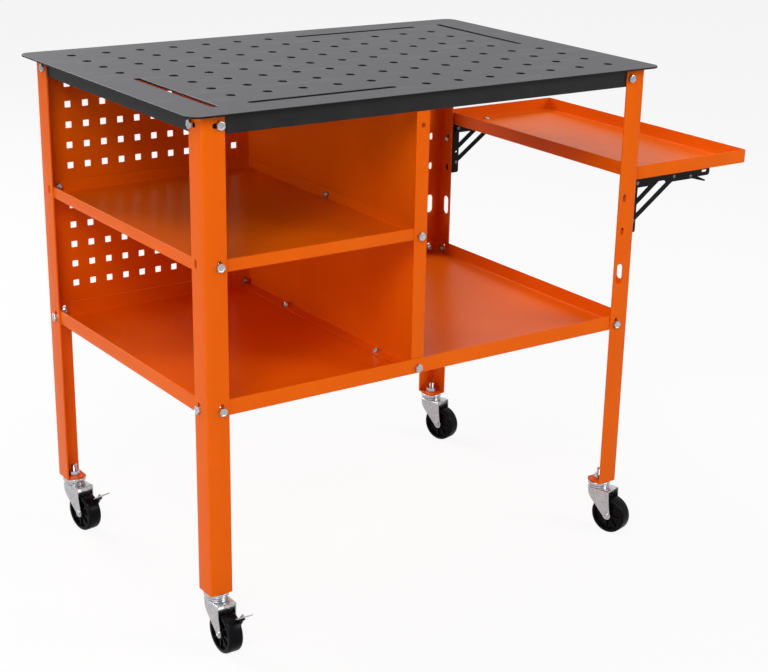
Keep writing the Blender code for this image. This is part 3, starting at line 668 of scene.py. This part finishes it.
def foot_clip_tool(low, high, side_x, side_y):
    """Takes the inner corner off the foot plate."""
    tip = Vector((low.x if side_x > 0 else high.x, low.y if side_y > 0 else high.y, low.z))
    slant = Vector((side_x, side_y, 0)).normalized()
    tool = add_block("clip", tip - CLIP_HALF, tip + CLIP_HALF)
    edit(tool)
    plane = tip + slant * FOOT_CLIP / math.sqrt(2)
    bpy.ops.mesh.select_all(action="SELECT")
    bpy.ops.mesh.bisect(plane_co=plane, plane_no=slant, use_fill=True, clear_outer=True)
    deselect()
    return tool


def legs():
    for corner in CORNERS:
        side_x, side_y = side_of(corner)
        node = f"{corner}_leg"
        low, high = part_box(node)
        open_sides = (Z, -X * side_x, -Y * side_y)
        angle = folded(f"{corner}_angle_leg", low, high, open_sides, LEG_THICK, LEG_BEND)
        slots = LEG_SLOTS + (TRAY_LEG_SLOTS if side_x > 0 else ())
        tools = leg_slot_tools(side_x, side_y, slots)
        stem = Vector(JOINTS[f"{corner}_swivel"]["pos_m"])
        stem.z = low.z
        tools.append(hole_tool(stem, Z, STEM_HOLE))
        tools.append(foot_clip_tool(low, high, side_x, side_y))
        cut(angle, tools)
        ease_edges(angle, LEG_EASE)
        dress(smoothed(angle), ORANGE, "frame", "orange_paint", node)


# ---------------------------------------------------------------- folding brackets

HINGE = Vector(JOINTS["tray_fold"]["pos_m"])
PIN_BORE = 0.0023
STRUT_WIDTH = 0.009
STRUT_TIPS = {"outer_strut": (0.0925, -0.002), "inner_strut": (0.0608, -0.002)}
WALL_SHEET, ARM_SHEET = 0.0017, 0.0015
BRACKET_BEND = 0.0018
WALL_CORNER, ARM_CORNER = 0.004, 0.005
# Along the arm's lower edges: distance from the hinge, and how far the edge hangs below it
ARM_EDGE = (
    (0.034, 0.0088),
    (0.0398, 0.003),
    (0.0651, 0.003),
    (0.070, 0.0079),
    (0.139, 0.0079),
    (0.1411, 0.0058),
    (0.176, 0.0058),
)
ARM_SLOT = ((0.1585, 0.0029), (0.1665, 0.0029))
ARM_SLOT_WIDTH = 0.0042
ARM_RIVETS = ((0.088, 0.0012), (0.129, -0.0030))
LATCH_HOOK = 0.0445
LATCH_TAIL = Vector((0.0362, 0, -0.0127))
TAIL_WIDTH, TAIL_ROOT, TAIL_THINNING = 0.003, 2.8, 0.9
WALL_BORE_HALF, ARM_BORE_HALF = 0.02, 0.03
STRUT_EASE, LATCH_EASE = 0.0004, 0.0003


def from_hinge(reach, rise, y):
    return Vector((HINGE.x + reach, y, HINGE.z + rise))


def joint_spot(joint, y):
    """A joint's place, moved along Y."""
    spot = Vector(JOINTS[joint]["pos_m"])
    spot.y = y
    return spot


def shape_arm_edge(low, high):
    """Slices the open channel at each corner of its lower edges, then lifts those corners."""
    for reach, _ in ARM_EDGE:
        x = HINGE.x + reach
        if x < high.x - NEAR:
            bpy.ops.mesh.select_all(action="SELECT")
            bpy.ops.mesh.bisect(plane_co=(x, 0, 0), plane_no=X)
    for reach, fall in ARM_EDGE:
        x = HINGE.x + reach
        pick("VERT", lambda vert: abs(vert.co.x - x) < NEAR and vert.co.z < low.z + NEAR)
        bpy.ops.transform.translate(value=(0, 0, HINGE.z - fall - low.z))


def bracket_channels(side):
    """The channel on the leg, and the arm under the tray that straddles it."""
    low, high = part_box(f"{side}_wall_plate")
    middle = (low.y + high.y) / 2
    open_sides = (X, Z, -Z)
    wall = folded(
        f"{side}_wall_channel", low, high, open_sides, WALL_SHEET, BRACKET_BEND, WALL_CORNER
    )
    places = [from_hinge(0, 0, middle)]
    places += [joint_spot(f"{side}_{bar}_swing", middle) for bar in STRUT_TIPS]
    cut(wall, [hole_tool(spot, Y, PIN_BORE, WALL_BORE_HALF) for spot in places])
    ease_edges(wall, SHEET_EASE)
    dress(smoothed(wall), BRACKET_BLACK_WITH_PAINTED_SHADE, "frame", "black_paint", f"{side}_wall_plate")
    low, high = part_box(f"{side}_arm")
    arm = folded(
        f"{side}_arm_channel",
        low,
        high,
        (X, -X, -Z),
        ARM_SHEET,
        BRACKET_BEND,
        ARM_CORNER,
        lambda: shape_arm_edge(low, high),
    )
    places = [from_hinge(0, 0, middle), joint_spot(f"{side}_latch_press", middle)]
    tools = [hole_tool(spot, Y, PIN_BORE, ARM_BORE_HALF) for spot in places]
    start, end = (from_hinge(*point, middle) for point in ARM_SLOT)
    tools.append(slot_tool(start, end, Y, ARM_SLOT_WIDTH, ARM_BORE_HALF))
    cut(arm, tools)
    ease_edges(arm, SHEET_EASE)
    dress(smoothed(arm), BRACKET_BLACK_WITH_PAINTED_SHADE, "tray", "black_paint", f"{side}_arm")


def flat_bar(name, start, end, width, thick):
    bar = slot_tool(start, end, Y, width, thick / 2, 32)
    bar.name = bar.data.name = name
    return bar


def bracket_bars(side):
    """The two struts, each with a bore at its lower end, and the catch with its finger tail."""
    for kind, tip in STRUT_TIPS.items():
        node = f"{side}_{kind}"
        low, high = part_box(node)
        pivot = joint_spot(f"{node}_swing", (low.y + high.y) / 2)
        bar = flat_bar(f"{node}_bar", pivot, from_hinge(*tip, pivot.y), STRUT_WIDTH, high.y - low.y)
        cut(bar, [hole_tool(pivot, Y, PIN_BORE)])
        ease_edges(bar, STRUT_EASE)
        dress(smoothed(bar), BRACKET_BLACK_WITH_PAINTED_SHADE, node, "black_paint", node)
    node = f"{side}_latch_lever"
    low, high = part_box(node)
    pivot = joint_spot(f"{side}_latch_press", (low.y + high.y) / 2)
    thick = high.y - low.y
    catch = flat_bar(f"{side}_latch_catch", pivot - X * LATCH_HOOK, pivot, STRUT_WIDTH, thick)
    tail = flat_bar("tail", pivot, pivot + LATCH_TAIL, TAIL_WIDTH, thick * TAIL_THINNING)
    edit(tail)
    pick("VERT", lambda vert: (vert.co - pivot).length < TAIL_WIDTH)
    bpy.ops.transform.resize(value=(TAIL_ROOT, 1, TAIL_ROOT), center_override=pivot)
    deselect()
    modify(catch, "BOOLEAN", operation="UNION", object=tail, solver="EXACT")
    throw_away(tail)
    cut(catch, [hole_tool(pivot, Y, PIN_BORE)])
    ease_edges(catch, LATCH_EASE)
    dress(smoothed(catch), BRACKET_BLACK_WITH_PAINTED_SHADE, node, "black_paint", node)


def brackets():
    for side in ("front", "back"):
        bracket_channels(side)
        bracket_bars(side)


# ---------------------------------------------------------------- bolts and nuts

HEX = 6
# Shares of a hexagon's radius
HEX_CHAMFER, HEX_RIM, HEX_SLOPE = 0.09, 0.14, 0.08
BOLT_RADIUS = 0.0074
BOLT_HEIGHT = 0.0055
NUT_RADIUS = 0.0062
NUT_HEIGHT = 0.0052
SHANK_RADIUS = 0.0034
SHANK_START, SHANK_PAST_NUT, SHANK_ROUND = 0.001, 0.0028, 0.0007
SMALL_NUT = 0.7
BOLT_DISH, NUT_DISH = 0.0004, 0.0005
SCREW_RADIUS, SCREW_HEIGHT, SCREW_ROUND = 0.0052, 0.0022, 0.0014
RECESS_INSET, RECESS_WALL, RECESS_DEPTH = 0.0016, 0.0003, 0.0009
RIVET_RADIUS, RIVET_HEIGHT, RIVET_ROUND = 0.0031, 0.0012, 0.0010


def hex_head(name, radius, height, sink):
    """A hexagon with its outer rim chamfered, and a shallow dished top, standing on Z = 0."""
    head = add_rod(name, Vector(), Z * height, radius, HEX)
    edit(head)
    pick("EDGE", above(height - NEAR))
    round_over(radius * HEX_CHAMFER, 2)
    pick("FACE", facing(Z))
    bpy.ops.mesh.inset(thickness=radius * HEX_RIM, depth=0)
    bpy.ops.mesh.inset(thickness=radius * HEX_SLOPE, depth=-sink)
    deselect()
    return head


def bolt_model():
    return smoothed(hex_head("bolt", BOLT_RADIUS, BOLT_HEIGHT, BOLT_DISH), 28)


def nut_model():
    """A nut on the end of its bolt."""
    nut = hex_head("nut", NUT_RADIUS, NUT_HEIGHT, NUT_DISH)
    tip = Z * (NUT_HEIGHT + SHANK_PAST_NUT)
    shank = add_rod("shank", Z * SHANK_START, tip, SHANK_RADIUS, 20)
    edit(shank)
    pick("EDGE", above(NUT_HEIGHT))
    round_over(SHANK_ROUND, 2)
    deselect()
    return smoothed(joined("nut", [nut, shank]), 28)


def screw_model():
    """A low round head with a plain round recess."""
    head = add_rod("screw", Vector(), Z * SCREW_HEIGHT, SCREW_RADIUS, 24)
    edit(head)
    pick("EDGE", above(SCREW_HEIGHT - NEAR))
    round_over(SCREW_ROUND, 4)
    pick("FACE", facing(Z))
    bpy.ops.mesh.inset(thickness=RECESS_INSET, depth=0)
    bpy.ops.mesh.inset(thickness=RECESS_WALL, depth=-RECESS_DEPTH)
    deselect()
    return smoothed(head, 40)


def rivet_model():
    """A low domed rivet head."""
    head = add_rod("rivet", Vector(), Z * RIVET_HEIGHT, RIVET_RADIUS, 20)
    edit(head)
    pick("EDGE", above(RIVET_HEIGHT - NEAR))
    round_over(RIVET_ROUND, 4)
    deselect()
    return smoothed(head, 40)


def fastened(name, model, body, places, finish=ZINC):
    """Copies of a bolt, nut or screw at each place and facing, joined as one piece."""
    copies = []
    for number, (spot, outward, twist) in enumerate(places):
        turn = Z.rotation_difference(outward).to_matrix().to_4x4() @ Matrix.Rotation(twist, 4, "Z")
        copies.append(another(model, f"{name}_{number}", Matrix.Translation(spot) @ turn))
    dress(joined(name, copies), finish, body, "zinc_plate")


BOLT_FROM_CORNER = 30
TOP_BOLT_DROP = -16
MID_BOLT_DROP = -227
LOW_BOLT_DROP = -455
# How far from the middle the heads and nuts sit on each face
NUT_FACE_X, NUT_FACE_Y, MID_NUT_FACE_Y = 422, 283, 280
DIVIDER_FACE_Y, SHELF_FACE_Y, SHELF_INSIDE_Y = 282.7, 284.2, 281.5
DIVIDER_INSIDE_X, MID_SHELF_NUT_DROP = -22.2, -229
LOW_FLOOR_NUT_X, LOW_FLOOR_TOP = -36, -462.3
TRAY_FLOOR_TOP = -195.8
TRAY_SCREW_X, BRACKET_Y = (455, 521), (-261, 261)
BRACKET_SCREW_X, BRACKET_NUT_X = 428, 423.5


def leg_bolt_places(side_x, side_y):
    """Where one leg's bolts and nuts sit, as (place, facing, twist)."""
    bolts, nuts = [], []
    face_x, face_y = side_x * LEG_FACE_X, side_y * LEG_FACE_Y
    bolt_x, bolt_y = face_x - side_x * BOLT_FROM_CORNER, face_y - side_y * BOLT_FROM_CORNER
    slot_x, slot_y = face_x - side_x * LEG_HOLE_INSET, face_y - side_y * LEG_HOLE_INSET
    bolts.append((at(bolt_x, face_y, TOP_BOLT_DROP), Y * side_y, 0.1))
    bolts.append((at(face_x, bolt_y, TOP_BOLT_DROP), X * side_x, 0.35))
    nuts.append((at(bolt_x, side_y * NUT_FACE_Y, TOP_BOLT_DROP), -Y * side_y, 0.2))
    nuts.append((at(side_x * NUT_FACE_X, bolt_y, TOP_BOLT_DROP), -X * side_x, 0.5))
    bolts.append((at(slot_x, face_y, LOW_BOLT_DROP), Y * side_y, 0.45))
    bolts.append((at(face_x, slot_y, LOW_BOLT_DROP), X * side_x, 0.0))
    nuts.append((at(slot_x, side_y * NUT_FACE_Y, LOW_BOLT_DROP), -Y * side_y, 0.0))
    nuts.append((at(side_x * NUT_FACE_X, slot_y, LOW_BOLT_DROP), -X * side_x, 0.3))
    if side_x < 0:
        bolts.append((at(slot_x, face_y, MID_BOLT_DROP), Y * side_y, 0.25))
        nuts.append((at(slot_x, side_y * MID_NUT_FACE_Y, MID_BOLT_DROP), -Y * side_y, 0.15))
    return bolts, nuts


def bolts_and_nuts():
    bolt, nut, screw, rivet = bolt_model(), nut_model(), screw_model(), rivet_model()
    for corner in CORNERS:
        bolts, nuts = leg_bolt_places(*side_of(corner))
        fastened(f"{corner}_leg_bolts", bolt, "frame", bolts)
        fastened(f"{corner}_leg_nuts", nut, "frame", nuts)
    divider_bolts = [
        (at(DIVIDER_BOLT_X, -DIVIDER_FACE_Y, DIVIDER_MID_DROP), -Y, 0.2),
        (at(DIVIDER_BOLT_X, -SHELF_FACE_Y, LOW_BOLT_DROP), -Y, 0.05),
        (at(DIVIDER_BOLT_X, SHELF_FACE_Y, DIVIDER_MID_DROP), Y, 0.2),
        (at(DIVIDER_BOLT_X, SHELF_FACE_Y, LOW_BOLT_DROP), Y, 0.3),
    ]
    divider_nuts = [
        (at(DIVIDER_BOLT_X, SHELF_INSIDE_Y, LOW_BOLT_DROP), -Y, 0.1),
        (at(DIVIDER_INSIDE_X, 10, MID_SHELF_NUT_DROP), -X, 0.3),
        (at(LOW_FLOOR_NUT_X, 128, LOW_FLOOR_TOP), Z, 0.15),
        (at(LOW_FLOOR_NUT_X, -168, LOW_FLOOR_TOP), Z, 0.4),
    ]
    fastened("divider_bolts", bolt, "frame", divider_bolts)
    fastened("divider_nuts", nut, "frame", divider_nuts)
    tray_screws = [
        (at(x, y, TRAY_FLOOR_TOP), Z, 0.0) for x in TRAY_SCREW_X for y in BRACKET_Y
    ]
    fastened("tray_screws", screw, "tray", tray_screws)
    bracket_screws = [(at(BRACKET_SCREW_X, y, MID_BOLT_DROP), X, 0.0) for y in BRACKET_Y]
    fastened("bracket_screws", screw, "frame", bracket_screws)
    small_nut = another(nut, "small_nut", Matrix.Scale(SMALL_NUT, 4))
    bracket_nuts = [(at(BRACKET_NUT_X, y, MID_BOLT_DROP), -X, 0.4) for y in BRACKET_Y]
    fastened("bracket_nuts", small_nut, "frame", bracket_nuts)
    arm_rivets = []
    for side in ("front", "back"):
        low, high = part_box(f"{side}_arm")
        for reach, rise in ARM_RIVETS:
            for y, outward in ((low.y, -Y), (high.y, Y)):
                arm_rivets.append((from_hinge(reach, rise, y), outward, 0.0))
    fastened("arm_rivets", rivet, "tray", arm_rivets, DULL_ZINC)
    throw_away(bolt, nut, screw, rivet, small_nut)


# ---------------------------------------------------------------- casters
# Each is modelled with the stem on the Z axis, the foot's underside at Z = 0 and the wheel
# trailing to -Y.

TRAIL = 0.030
AXLE_DROP = 0.0603
PLAY = 0.0003
RING_RADIUS, RING_HEIGHT, RING_ROUND = 0.0205, 0.0065, 0.0014
RACE_INSET, RACE_NECK, RACE_FLARE, RACE_HEIGHT = 0.0038, 0.0012, 1.2, 0.0044
STEM_RADIUS, STEM_RISE = 0.0055, 0.0238
STEM_TIP, TIP_TAPER = 0.0006, 0.86
THREAD_PITCH, THREAD_DEPTH = 0.00175, 0.0006
STEM_NUT_RADIUS, STEM_NUT_HEIGHT = 0.0104, 0.008
STEM_NUT_SEAT, STEM_NUT_DISH = 0.0028, 0.0002
CROWN_TOP = -0.0115
CROWN_HALF, CROWN_FRONT, CROWN_BACK = 0.0180, -0.0325, 0.0190
CROWN_CORNER, CROWN_BEND, CHEEK_TIP = 0.0135, 0.0034, 0.0056
FORK_SHEET = 0.0020
FORK_EASE = 0.0003
CHEEK_SLOPE = math.tan(math.radians(4.3))
CHEEK_LOW, CHEEK_FRONT = -0.0678, -0.0372
# The line that the wall is cut back to behind the cheeks, as (Y, Z)
CHEEK_REAR = ((0.0195, -0.0150), (0.0098, -0.0285), (-0.0080, -0.0515), (-0.0240, -0.0665))
WHEEL_SIDES, WHEEL_RADIUS, WHEEL_HALF = 48, 0.0347, 0.0126
TREAD_ROUND, RIM_WIDTH, RIM_SLOPE = 0.0040, 0.0032, 0.0010
HUB_HALF, HUB_RADIUS, HUB_SLOPE, WEB_HALF = 0.0112, 0.0095, 0.0008, 0.0080
HUB_BORE, BORE_SLOPE, BORE_DEPTH = 0.0040, 0.0005, 0.0010
RIB_RISE, SIDES_PER_RIB = 0.0024, 6
AXLE_RADIUS, AXLE_HEAD_RADIUS, AXLE_HEAD = 0.0030, 0.0050, 0.0018
HEAD_ROUND, HEAD_RIM, HOLLOW_SLOPE, HOLLOW_DEPTH = 0.0007, 0.0017, 0.0004, 0.0011
SPACER_ROUND = 0.0004
AXLE_REACH, LEVER_FACE, BRAKED_REACH = 0.01474, 0.01744, 0.01974


def stem_model():
    """The ring under the foot with its groove, the race below it, and the threaded stem above."""
    ring_low = -PLAY - RING_HEIGHT
    stem = add_rod("stem", Z * ring_low, Z * -PLAY, RING_RADIUS, 48)
    edit(stem)
    pick("EDGE", square_to(Z))
    round_over(RING_ROUND, 3)
    pick("FACE", facing(Z))
    bpy.ops.mesh.inset(thickness=RING_RADIUS - RING_ROUND - STEM_RADIUS, depth=0)
    slim = (STEM_RADIUS - THREAD_DEPTH) / STEM_RADIUS
    for _ in range(int((STEM_RISE - 0.001) / THREAD_PITCH)):
        for scale in (slim, 1 / slim):
            extrude((0, 0, THREAD_PITCH / 2))
            bpy.ops.transform.resize(value=(scale, scale, 1))
    extrude((0, 0, STEM_TIP))
    bpy.ops.transform.resize(value=(TIP_TAPER, TIP_TAPER, 1))
    pick("FACE", facing(-Z))
    bpy.ops.mesh.inset(thickness=RACE_INSET, depth=0)
    extrude((0, 0, -RACE_NECK))
    extrude((0, 0, 0))
    bpy.ops.transform.resize(value=(RACE_FLARE, RACE_FLARE, 1))
    extrude((0, 0, RACE_NECK - RACE_HEIGHT))
    deselect()
    return smoothed(stem, 50)


def stem_nut_model():
    """A hexagon nut with a bore, standing on the foot plate."""
    nut = hex_head("stem_nut", STEM_NUT_RADIUS, STEM_NUT_HEIGHT, STEM_NUT_DISH)
    cut(nut, [add_rod("bore", Z * -0.01, Z * 0.02, STEM_RADIUS + PLAY, 32)])
    edit(nut)
    bpy.ops.mesh.select_all(action="SELECT")
    bpy.ops.transform.translate(value=Z * STEM_NUT_SEAT)
    deselect()
    return smoothed(nut, 28)


def fork_model():
    """One pressed sheet: a crown, and a wall round it that is cut away to two leaning cheeks."""
    deselect()
    middle = (CROWN_FRONT + CROWN_BACK) / 2
    bpy.ops.mesh.primitive_plane_add(size=1, location=(0, middle, CROWN_TOP))
    bpy.context.object.scale = (2 * CROWN_HALF, CROWN_BACK - CROWN_FRONT, 1)
    fork = started("fork")
    edit(fork)
    pick("VERT", lambda vert: vert.co.y > 0)
    round_over(CROWN_CORNER, 7, "VERTICES")
    pick("EDGE", lambda edge: len(edge.link_faces) == 1 and middle_of(edge).y > CROWN_FRONT + NEAR)
    extrude((0, 0, CHEEK_LOW - CROWN_TOP))
    lean = (CROWN_TOP - CHEEK_LOW) * CHEEK_SLOPE
    pick("VERT", lambda vert: vert.co.z < CROWN_TOP - NEAR)
    bpy.ops.transform.resize(value=(1 - lean / CROWN_HALF, 1, 1))
    pick("VERT", lambda vert: vert.co.z < CROWN_TOP - NEAR and vert.co.y < CROWN_FRONT + NEAR)
    bpy.ops.transform.translate(value=(0, CHEEK_FRONT - CROWN_FRONT, 0))

    def on_crown_rim(edge):
        return len(edge.link_faces) == 2 and abs(middle_of(edge).z - CROWN_TOP) < NEAR

    pick("EDGE", on_crown_rim)
    round_over(CROWN_BEND, 4)
    for upper, lower in zip(CHEEK_REAR, CHEEK_REAR[1:]):
        pick("FACE", lambda face: abs(face.normal.z) < FLAT)
        outward = Vector((0, upper[1] - lower[1], lower[0] - upper[0]))
        bpy.ops.mesh.bisect(plane_co=(0, *upper), plane_no=outward, clear_outer=True)
    pick("VERT", lambda vert: vert.co.z < CHEEK_LOW + NEAR)
    round_over(CHEEK_TIP, 6, "VERTICES")
    bpy.ops.mesh.select_all(action="SELECT")
    bpy.ops.mesh.normals_make_consistent(inside=False)
    faces = bmesh.from_edit_mesh(fork.data).faces
    crown = max(faces, key=lambda face: abs(face.normal.z) * face.calc_area())
    if crown.normal.z < 0:
        bpy.ops.mesh.flip_normals()
    deselect()
    modify(fork, "SOLIDIFY", thickness=FORK_SHEET, offset=-1, use_even_offset=True)
    axle = Vector((0, -TRAIL, -AXLE_DROP))
    bores = [add_rod("bore", axle - X * 0.03, axle + X * 0.03, AXLE_RADIUS + PLAY, 24)]
    bores.append(add_rod("bore", Z * -0.02, Z * 0.01, STEM_RADIUS + PLAY, 24))
    cut(fork, bores)
    ease_edges(fork, FORK_EASE)
    return smoothed(fork, 35)


def wheel_model():
    """A hard wheel about the X axis: rounded tread, dished sides with ribs, and a hub."""
    wheel = add_rod("wheel", X * -WHEEL_HALF, X * WHEEL_HALF, WHEEL_RADIUS, WHEEL_SIDES)
    edit(wheel)
    pick("EDGE", square_to(X))
    round_over(TREAD_ROUND, 4)
    pick("FACE", lambda face: abs(face.normal.x) > 0.9 and len(face.verts) > 4)
    bpy.ops.mesh.inset(thickness=RIM_WIDTH, depth=0)
    bpy.ops.mesh.inset(thickness=RIM_SLOPE, depth=WEB_HALF - WHEEL_HALF)
    web = WHEEL_RADIUS - TREAD_ROUND - RIM_WIDTH - RIM_SLOPE
    bpy.ops.mesh.inset(thickness=web - HUB_RADIUS - HUB_SLOPE, depth=0)
    bpy.ops.mesh.inset(thickness=HUB_SLOPE, depth=HUB_HALF - WEB_HALF)
    bpy.ops.mesh.inset(thickness=HUB_RADIUS - HUB_BORE, depth=0)
    bpy.ops.mesh.inset(thickness=BORE_SLOPE, depth=-BORE_DEPTH)
    side_angle = 360 / WHEEL_SIDES

    def is_rib(face, side):
        spot = middle_of(face)
        reach = math.hypot(spot.y, spot.z)
        angle = math.degrees(math.atan2(spot.z, spot.y)) % 360
        step = round((angle - side_angle / 2) / side_angle)
        on_web = abs(spot.x - side * WEB_HALF) < NEAR and HUB_RADIUS < reach < web
        return on_web and step % SIDES_PER_RIB == 0

    for side in (-1, 1):
        pick("FACE", lambda face: is_rib(face, side))
        extrude((side * RIB_RISE, 0, 0))
    deselect()
    return smoothed(wheel, 38)


def axle_model(far):
    """The axle with a rivet head at each end, hollowed in the middle, to far on the +X side."""
    axle = add_rod("axle", X * -AXLE_REACH, X * far, AXLE_RADIUS, 28)
    edit(axle)
    grow = AXLE_HEAD_RADIUS / AXLE_RADIUS
    for side, end in ((-1, AXLE_REACH), (1, far)):
        pick("FACE", facing(X * side))
        extrude((0, 0, 0))
        bpy.ops.transform.resize(value=(1, grow, grow))
        extrude((side * AXLE_HEAD, 0, 0))
        outer = end + AXLE_HEAD - NEAR
        pick("EDGE", lambda edge: all(vert.co.x * side > outer for vert in edge.verts))
        round_over(HEAD_ROUND, 3)
        pick("FACE", lambda face: facing(X * side)(face) and middle_of(face).x * side > end + NEAR)
        bpy.ops.mesh.inset(thickness=HEAD_RIM, depth=0)
        bpy.ops.mesh.inset(thickness=HOLLOW_SLOPE, depth=-HOLLOW_DEPTH)
    deselect()
    pieces = [axle]
    if far > AXLE_REACH:
        spacer = add_rod("spacer", X * AXLE_REACH, X * (LEVER_FACE - PLAY), AXLE_HEAD_RADIUS, 28)
        edit(spacer)
        pick("EDGE", square_to(X))
        round_over(SPACER_ROUND, 2)
        deselect()
        pieces.append(spacer)
    return smoothed(joined("axle", pieces), 40)


def casters():
    stem, nut, fork, wheel = stem_model(), stem_nut_model(), fork_model(), wheel_model()
    plain_axle, braked_axle = axle_model(AXLE_REACH), axle_model(BRAKED_REACH)
    for corner in CORNERS:
        foot = Vector(JOINTS[f"{corner}_swivel"]["pos_m"])
        foot.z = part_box(f"{corner}_leg")[0].z
        roll = JOINTS[f"{corner}_roll"]
        heading = Matrix.Rotation(math.atan2(roll["axis"][1], roll["axis"][0]), 4, "Z")
        mount = Matrix.Translation(foot)
        hub = Matrix.Translation(Vector(roll["pos_m"])) @ heading
        axle = braked_axle if f"{corner}_brake_lever" in frame["nodes"] else plain_axle
        for model, name, place, body, node in (
            (stem, "swivel_stem", mount, "frame", "caster_stem"),
            (nut, "swivel_nut", mount, "frame", "stem_nut"),
            (fork, "pressed_fork", mount @ heading, f"{corner}_fork", "caster_fork"),
            (axle, "riveted_axle", hub, f"{corner}_fork", "axle"),
        ):
            piece = another(model, f"{corner}_{name}", place)
            dress(piece, ZINC, body, "zinc_plate", f"{corner}_{node}")
        piece = another(wheel, f"{corner}_ribbed_wheel", hub)
        dress(piece, WHEEL_BLACK, f"{corner}_wheel", "black_wheel", f"{corner}_wheel")
    throw_away(stem, nut, fork, wheel, plain_axle, braked_axle)


# ---------------------------------------------------------------- what stays as it was cut

FINISH_OF_KIND = {"pin": DULL_ZINC, "lever": LEVER_GREY, "shoe": WHEEL_BLACK}


def finish_the_rest():
    """The CAD nodes that show as they are get their finish too."""
    for name, node in frame["nodes"].items():
        if not node.hide_render:
            node.data.materials.clear()
            node.data.materials.append(FINISH_OF_KIND[name.rsplit("_", 1)[1]])


# ---------------------------------------------------------------- studio

AIM = (0, 0, 0.5)
AMBIENT = 0.03
FLOOR_SIZE = 40
CAMERA_LENS = 77.7902
CAMERA_SHIFT = (-0.0454, 0.0588)
CAMERA_SPOT = (-1541.14, -2354.18, 482.30)
CAMERA_ACROSS = Vector((0.8128823, -0.5818910, 0.0250041))
CAMERA_UP = Vector((0.1855286, 0.2993940, 0.9359179))
CAMERA_BACK = Vector((-0.5520883, -0.7561522, 0.3513295))


def lamp(name, spot, size, power):
    """A square soft box that looks at the middle of the table."""
    data = bpy.data.lights.new(name, "AREA")
    data.shape = "RECTANGLE"
    data.size = data.size_y = size
    data.energy = power
    light = bpy.data.objects.new(name, data)
    light.location = spot
    light.rotation_euler = (Vector(AIM) - Vector(spot)).to_track_quat("-Z", "Y").to_euler()
    bpy.context.scene.collection.objects.link(light)


def seen_directly(finish, seen, mirrored):
    """The share of glow for rays from the camera, and for those seen in metal and glass."""
    kinds = ("Is Camera Ray", "Is Glossy Ray", "Is Transmission Ray")
    straight, glossy, through = (
        finish.node("ShaderNodeLightPath", {}, {}, kind) for kind in kinds
    )
    share = seen * straight + mirrored * (glossy + through)
    return finish.node("ShaderNodeClamp", {}, {"Value": share})


def floor():
    deselect()
    bpy.ops.mesh.primitive_plane_add(size=FLOOR_SIZE, location=(0, 0, 0))
    ground = started("floor")
    pale = Finish("pale_floor")
    pale.shade(Base_Color=colour(0.86, 0.86, 0.86), Roughness=0.9, Specular_IOR_Level=0.1)
    glow = pale.node("ShaderNodeEmission", {}, {"Color": colour(1, 1, 1), "Strength": 1.0})
    lit = Level(pale, pale.shader.outputs["BSDF"])
    share = seen_directly(pale, seen=0.9, mirrored=0.35)
    mixed = pale.node("ShaderNodeMixShader", {}, {0: share, 1: lit, 2: glow})
    pale.feed(pale.tree.nodes["Material Output"].inputs["Surface"], mixed)
    ground.data.materials.append(pale.material)


class Surroundings(Finish):
    """The world's nodes, made in the same way."""

    def __init__(self):
        world = bpy.data.worlds.new("pale_room")
        world.use_nodes = True
        bpy.context.scene.world = world
        self.tree = world.node_tree


def room():
    """Dim light from all round, and white for what is seen of it."""
    around = Surroundings()
    dim = around.node("ShaderNodeBackground", {}, {"Color": colour(1, 1, 1), "Strength": AMBIENT})
    pale = around.node("ShaderNodeBackground", {}, {"Color": colour(1, 1, 1), "Strength": 1.0})
    share = seen_directly(around, seen=1.0, mirrored=1.0)
    mixed = around.node("ShaderNodeMixShader", {}, {0: share, 1: dim, 2: pale})
    around.feed(around.tree.nodes["World Output"].inputs["Surface"], mixed)


def camera():
    data = bpy.data.cameras.new("camera")
    data.sensor_fit = "HORIZONTAL"
    data.sensor_width = 36
    data.lens = CAMERA_LENS
    data.shift_x, data.shift_y = CAMERA_SHIFT
    data.clip_end = 100
    view = bpy.data.objects.new("camera", data)
    turn = Matrix((CAMERA_ACROSS, CAMERA_UP, CAMERA_BACK)).transposed().to_4x4()
    view.matrix_world = Matrix.Translation(at(*CAMERA_SPOT)) @ turn
    bpy.context.scene.collection.objects.link(view)
    bpy.context.scene.camera = view


def studio():
    camera()
    floor()
    room()
    lamp("key", (-2.4, -2.4, 3.0), 1.8, 84)
    lamp("fill", (2.2, -2.8, 2.2), 1.6, 62)
    lamp("back", (-1.0, 3.0, 2.6), 1.8, 90)
    lamp("overhead", (0.0, 0.0, 3.6), 2.0, 30)
    lamp("left_strip", (-3.4, -0.8, 0.9), 1.2, 24)
    bpy.context.scene.view_settings.view_transform = "Standard"


deselect()
studio()
worktop()
shelves()
divider_panel()
perforated_panel()
aprons()
legs()
brackets()
bolts_and_nuts()
casters()
finish_the_rest()
deselect()
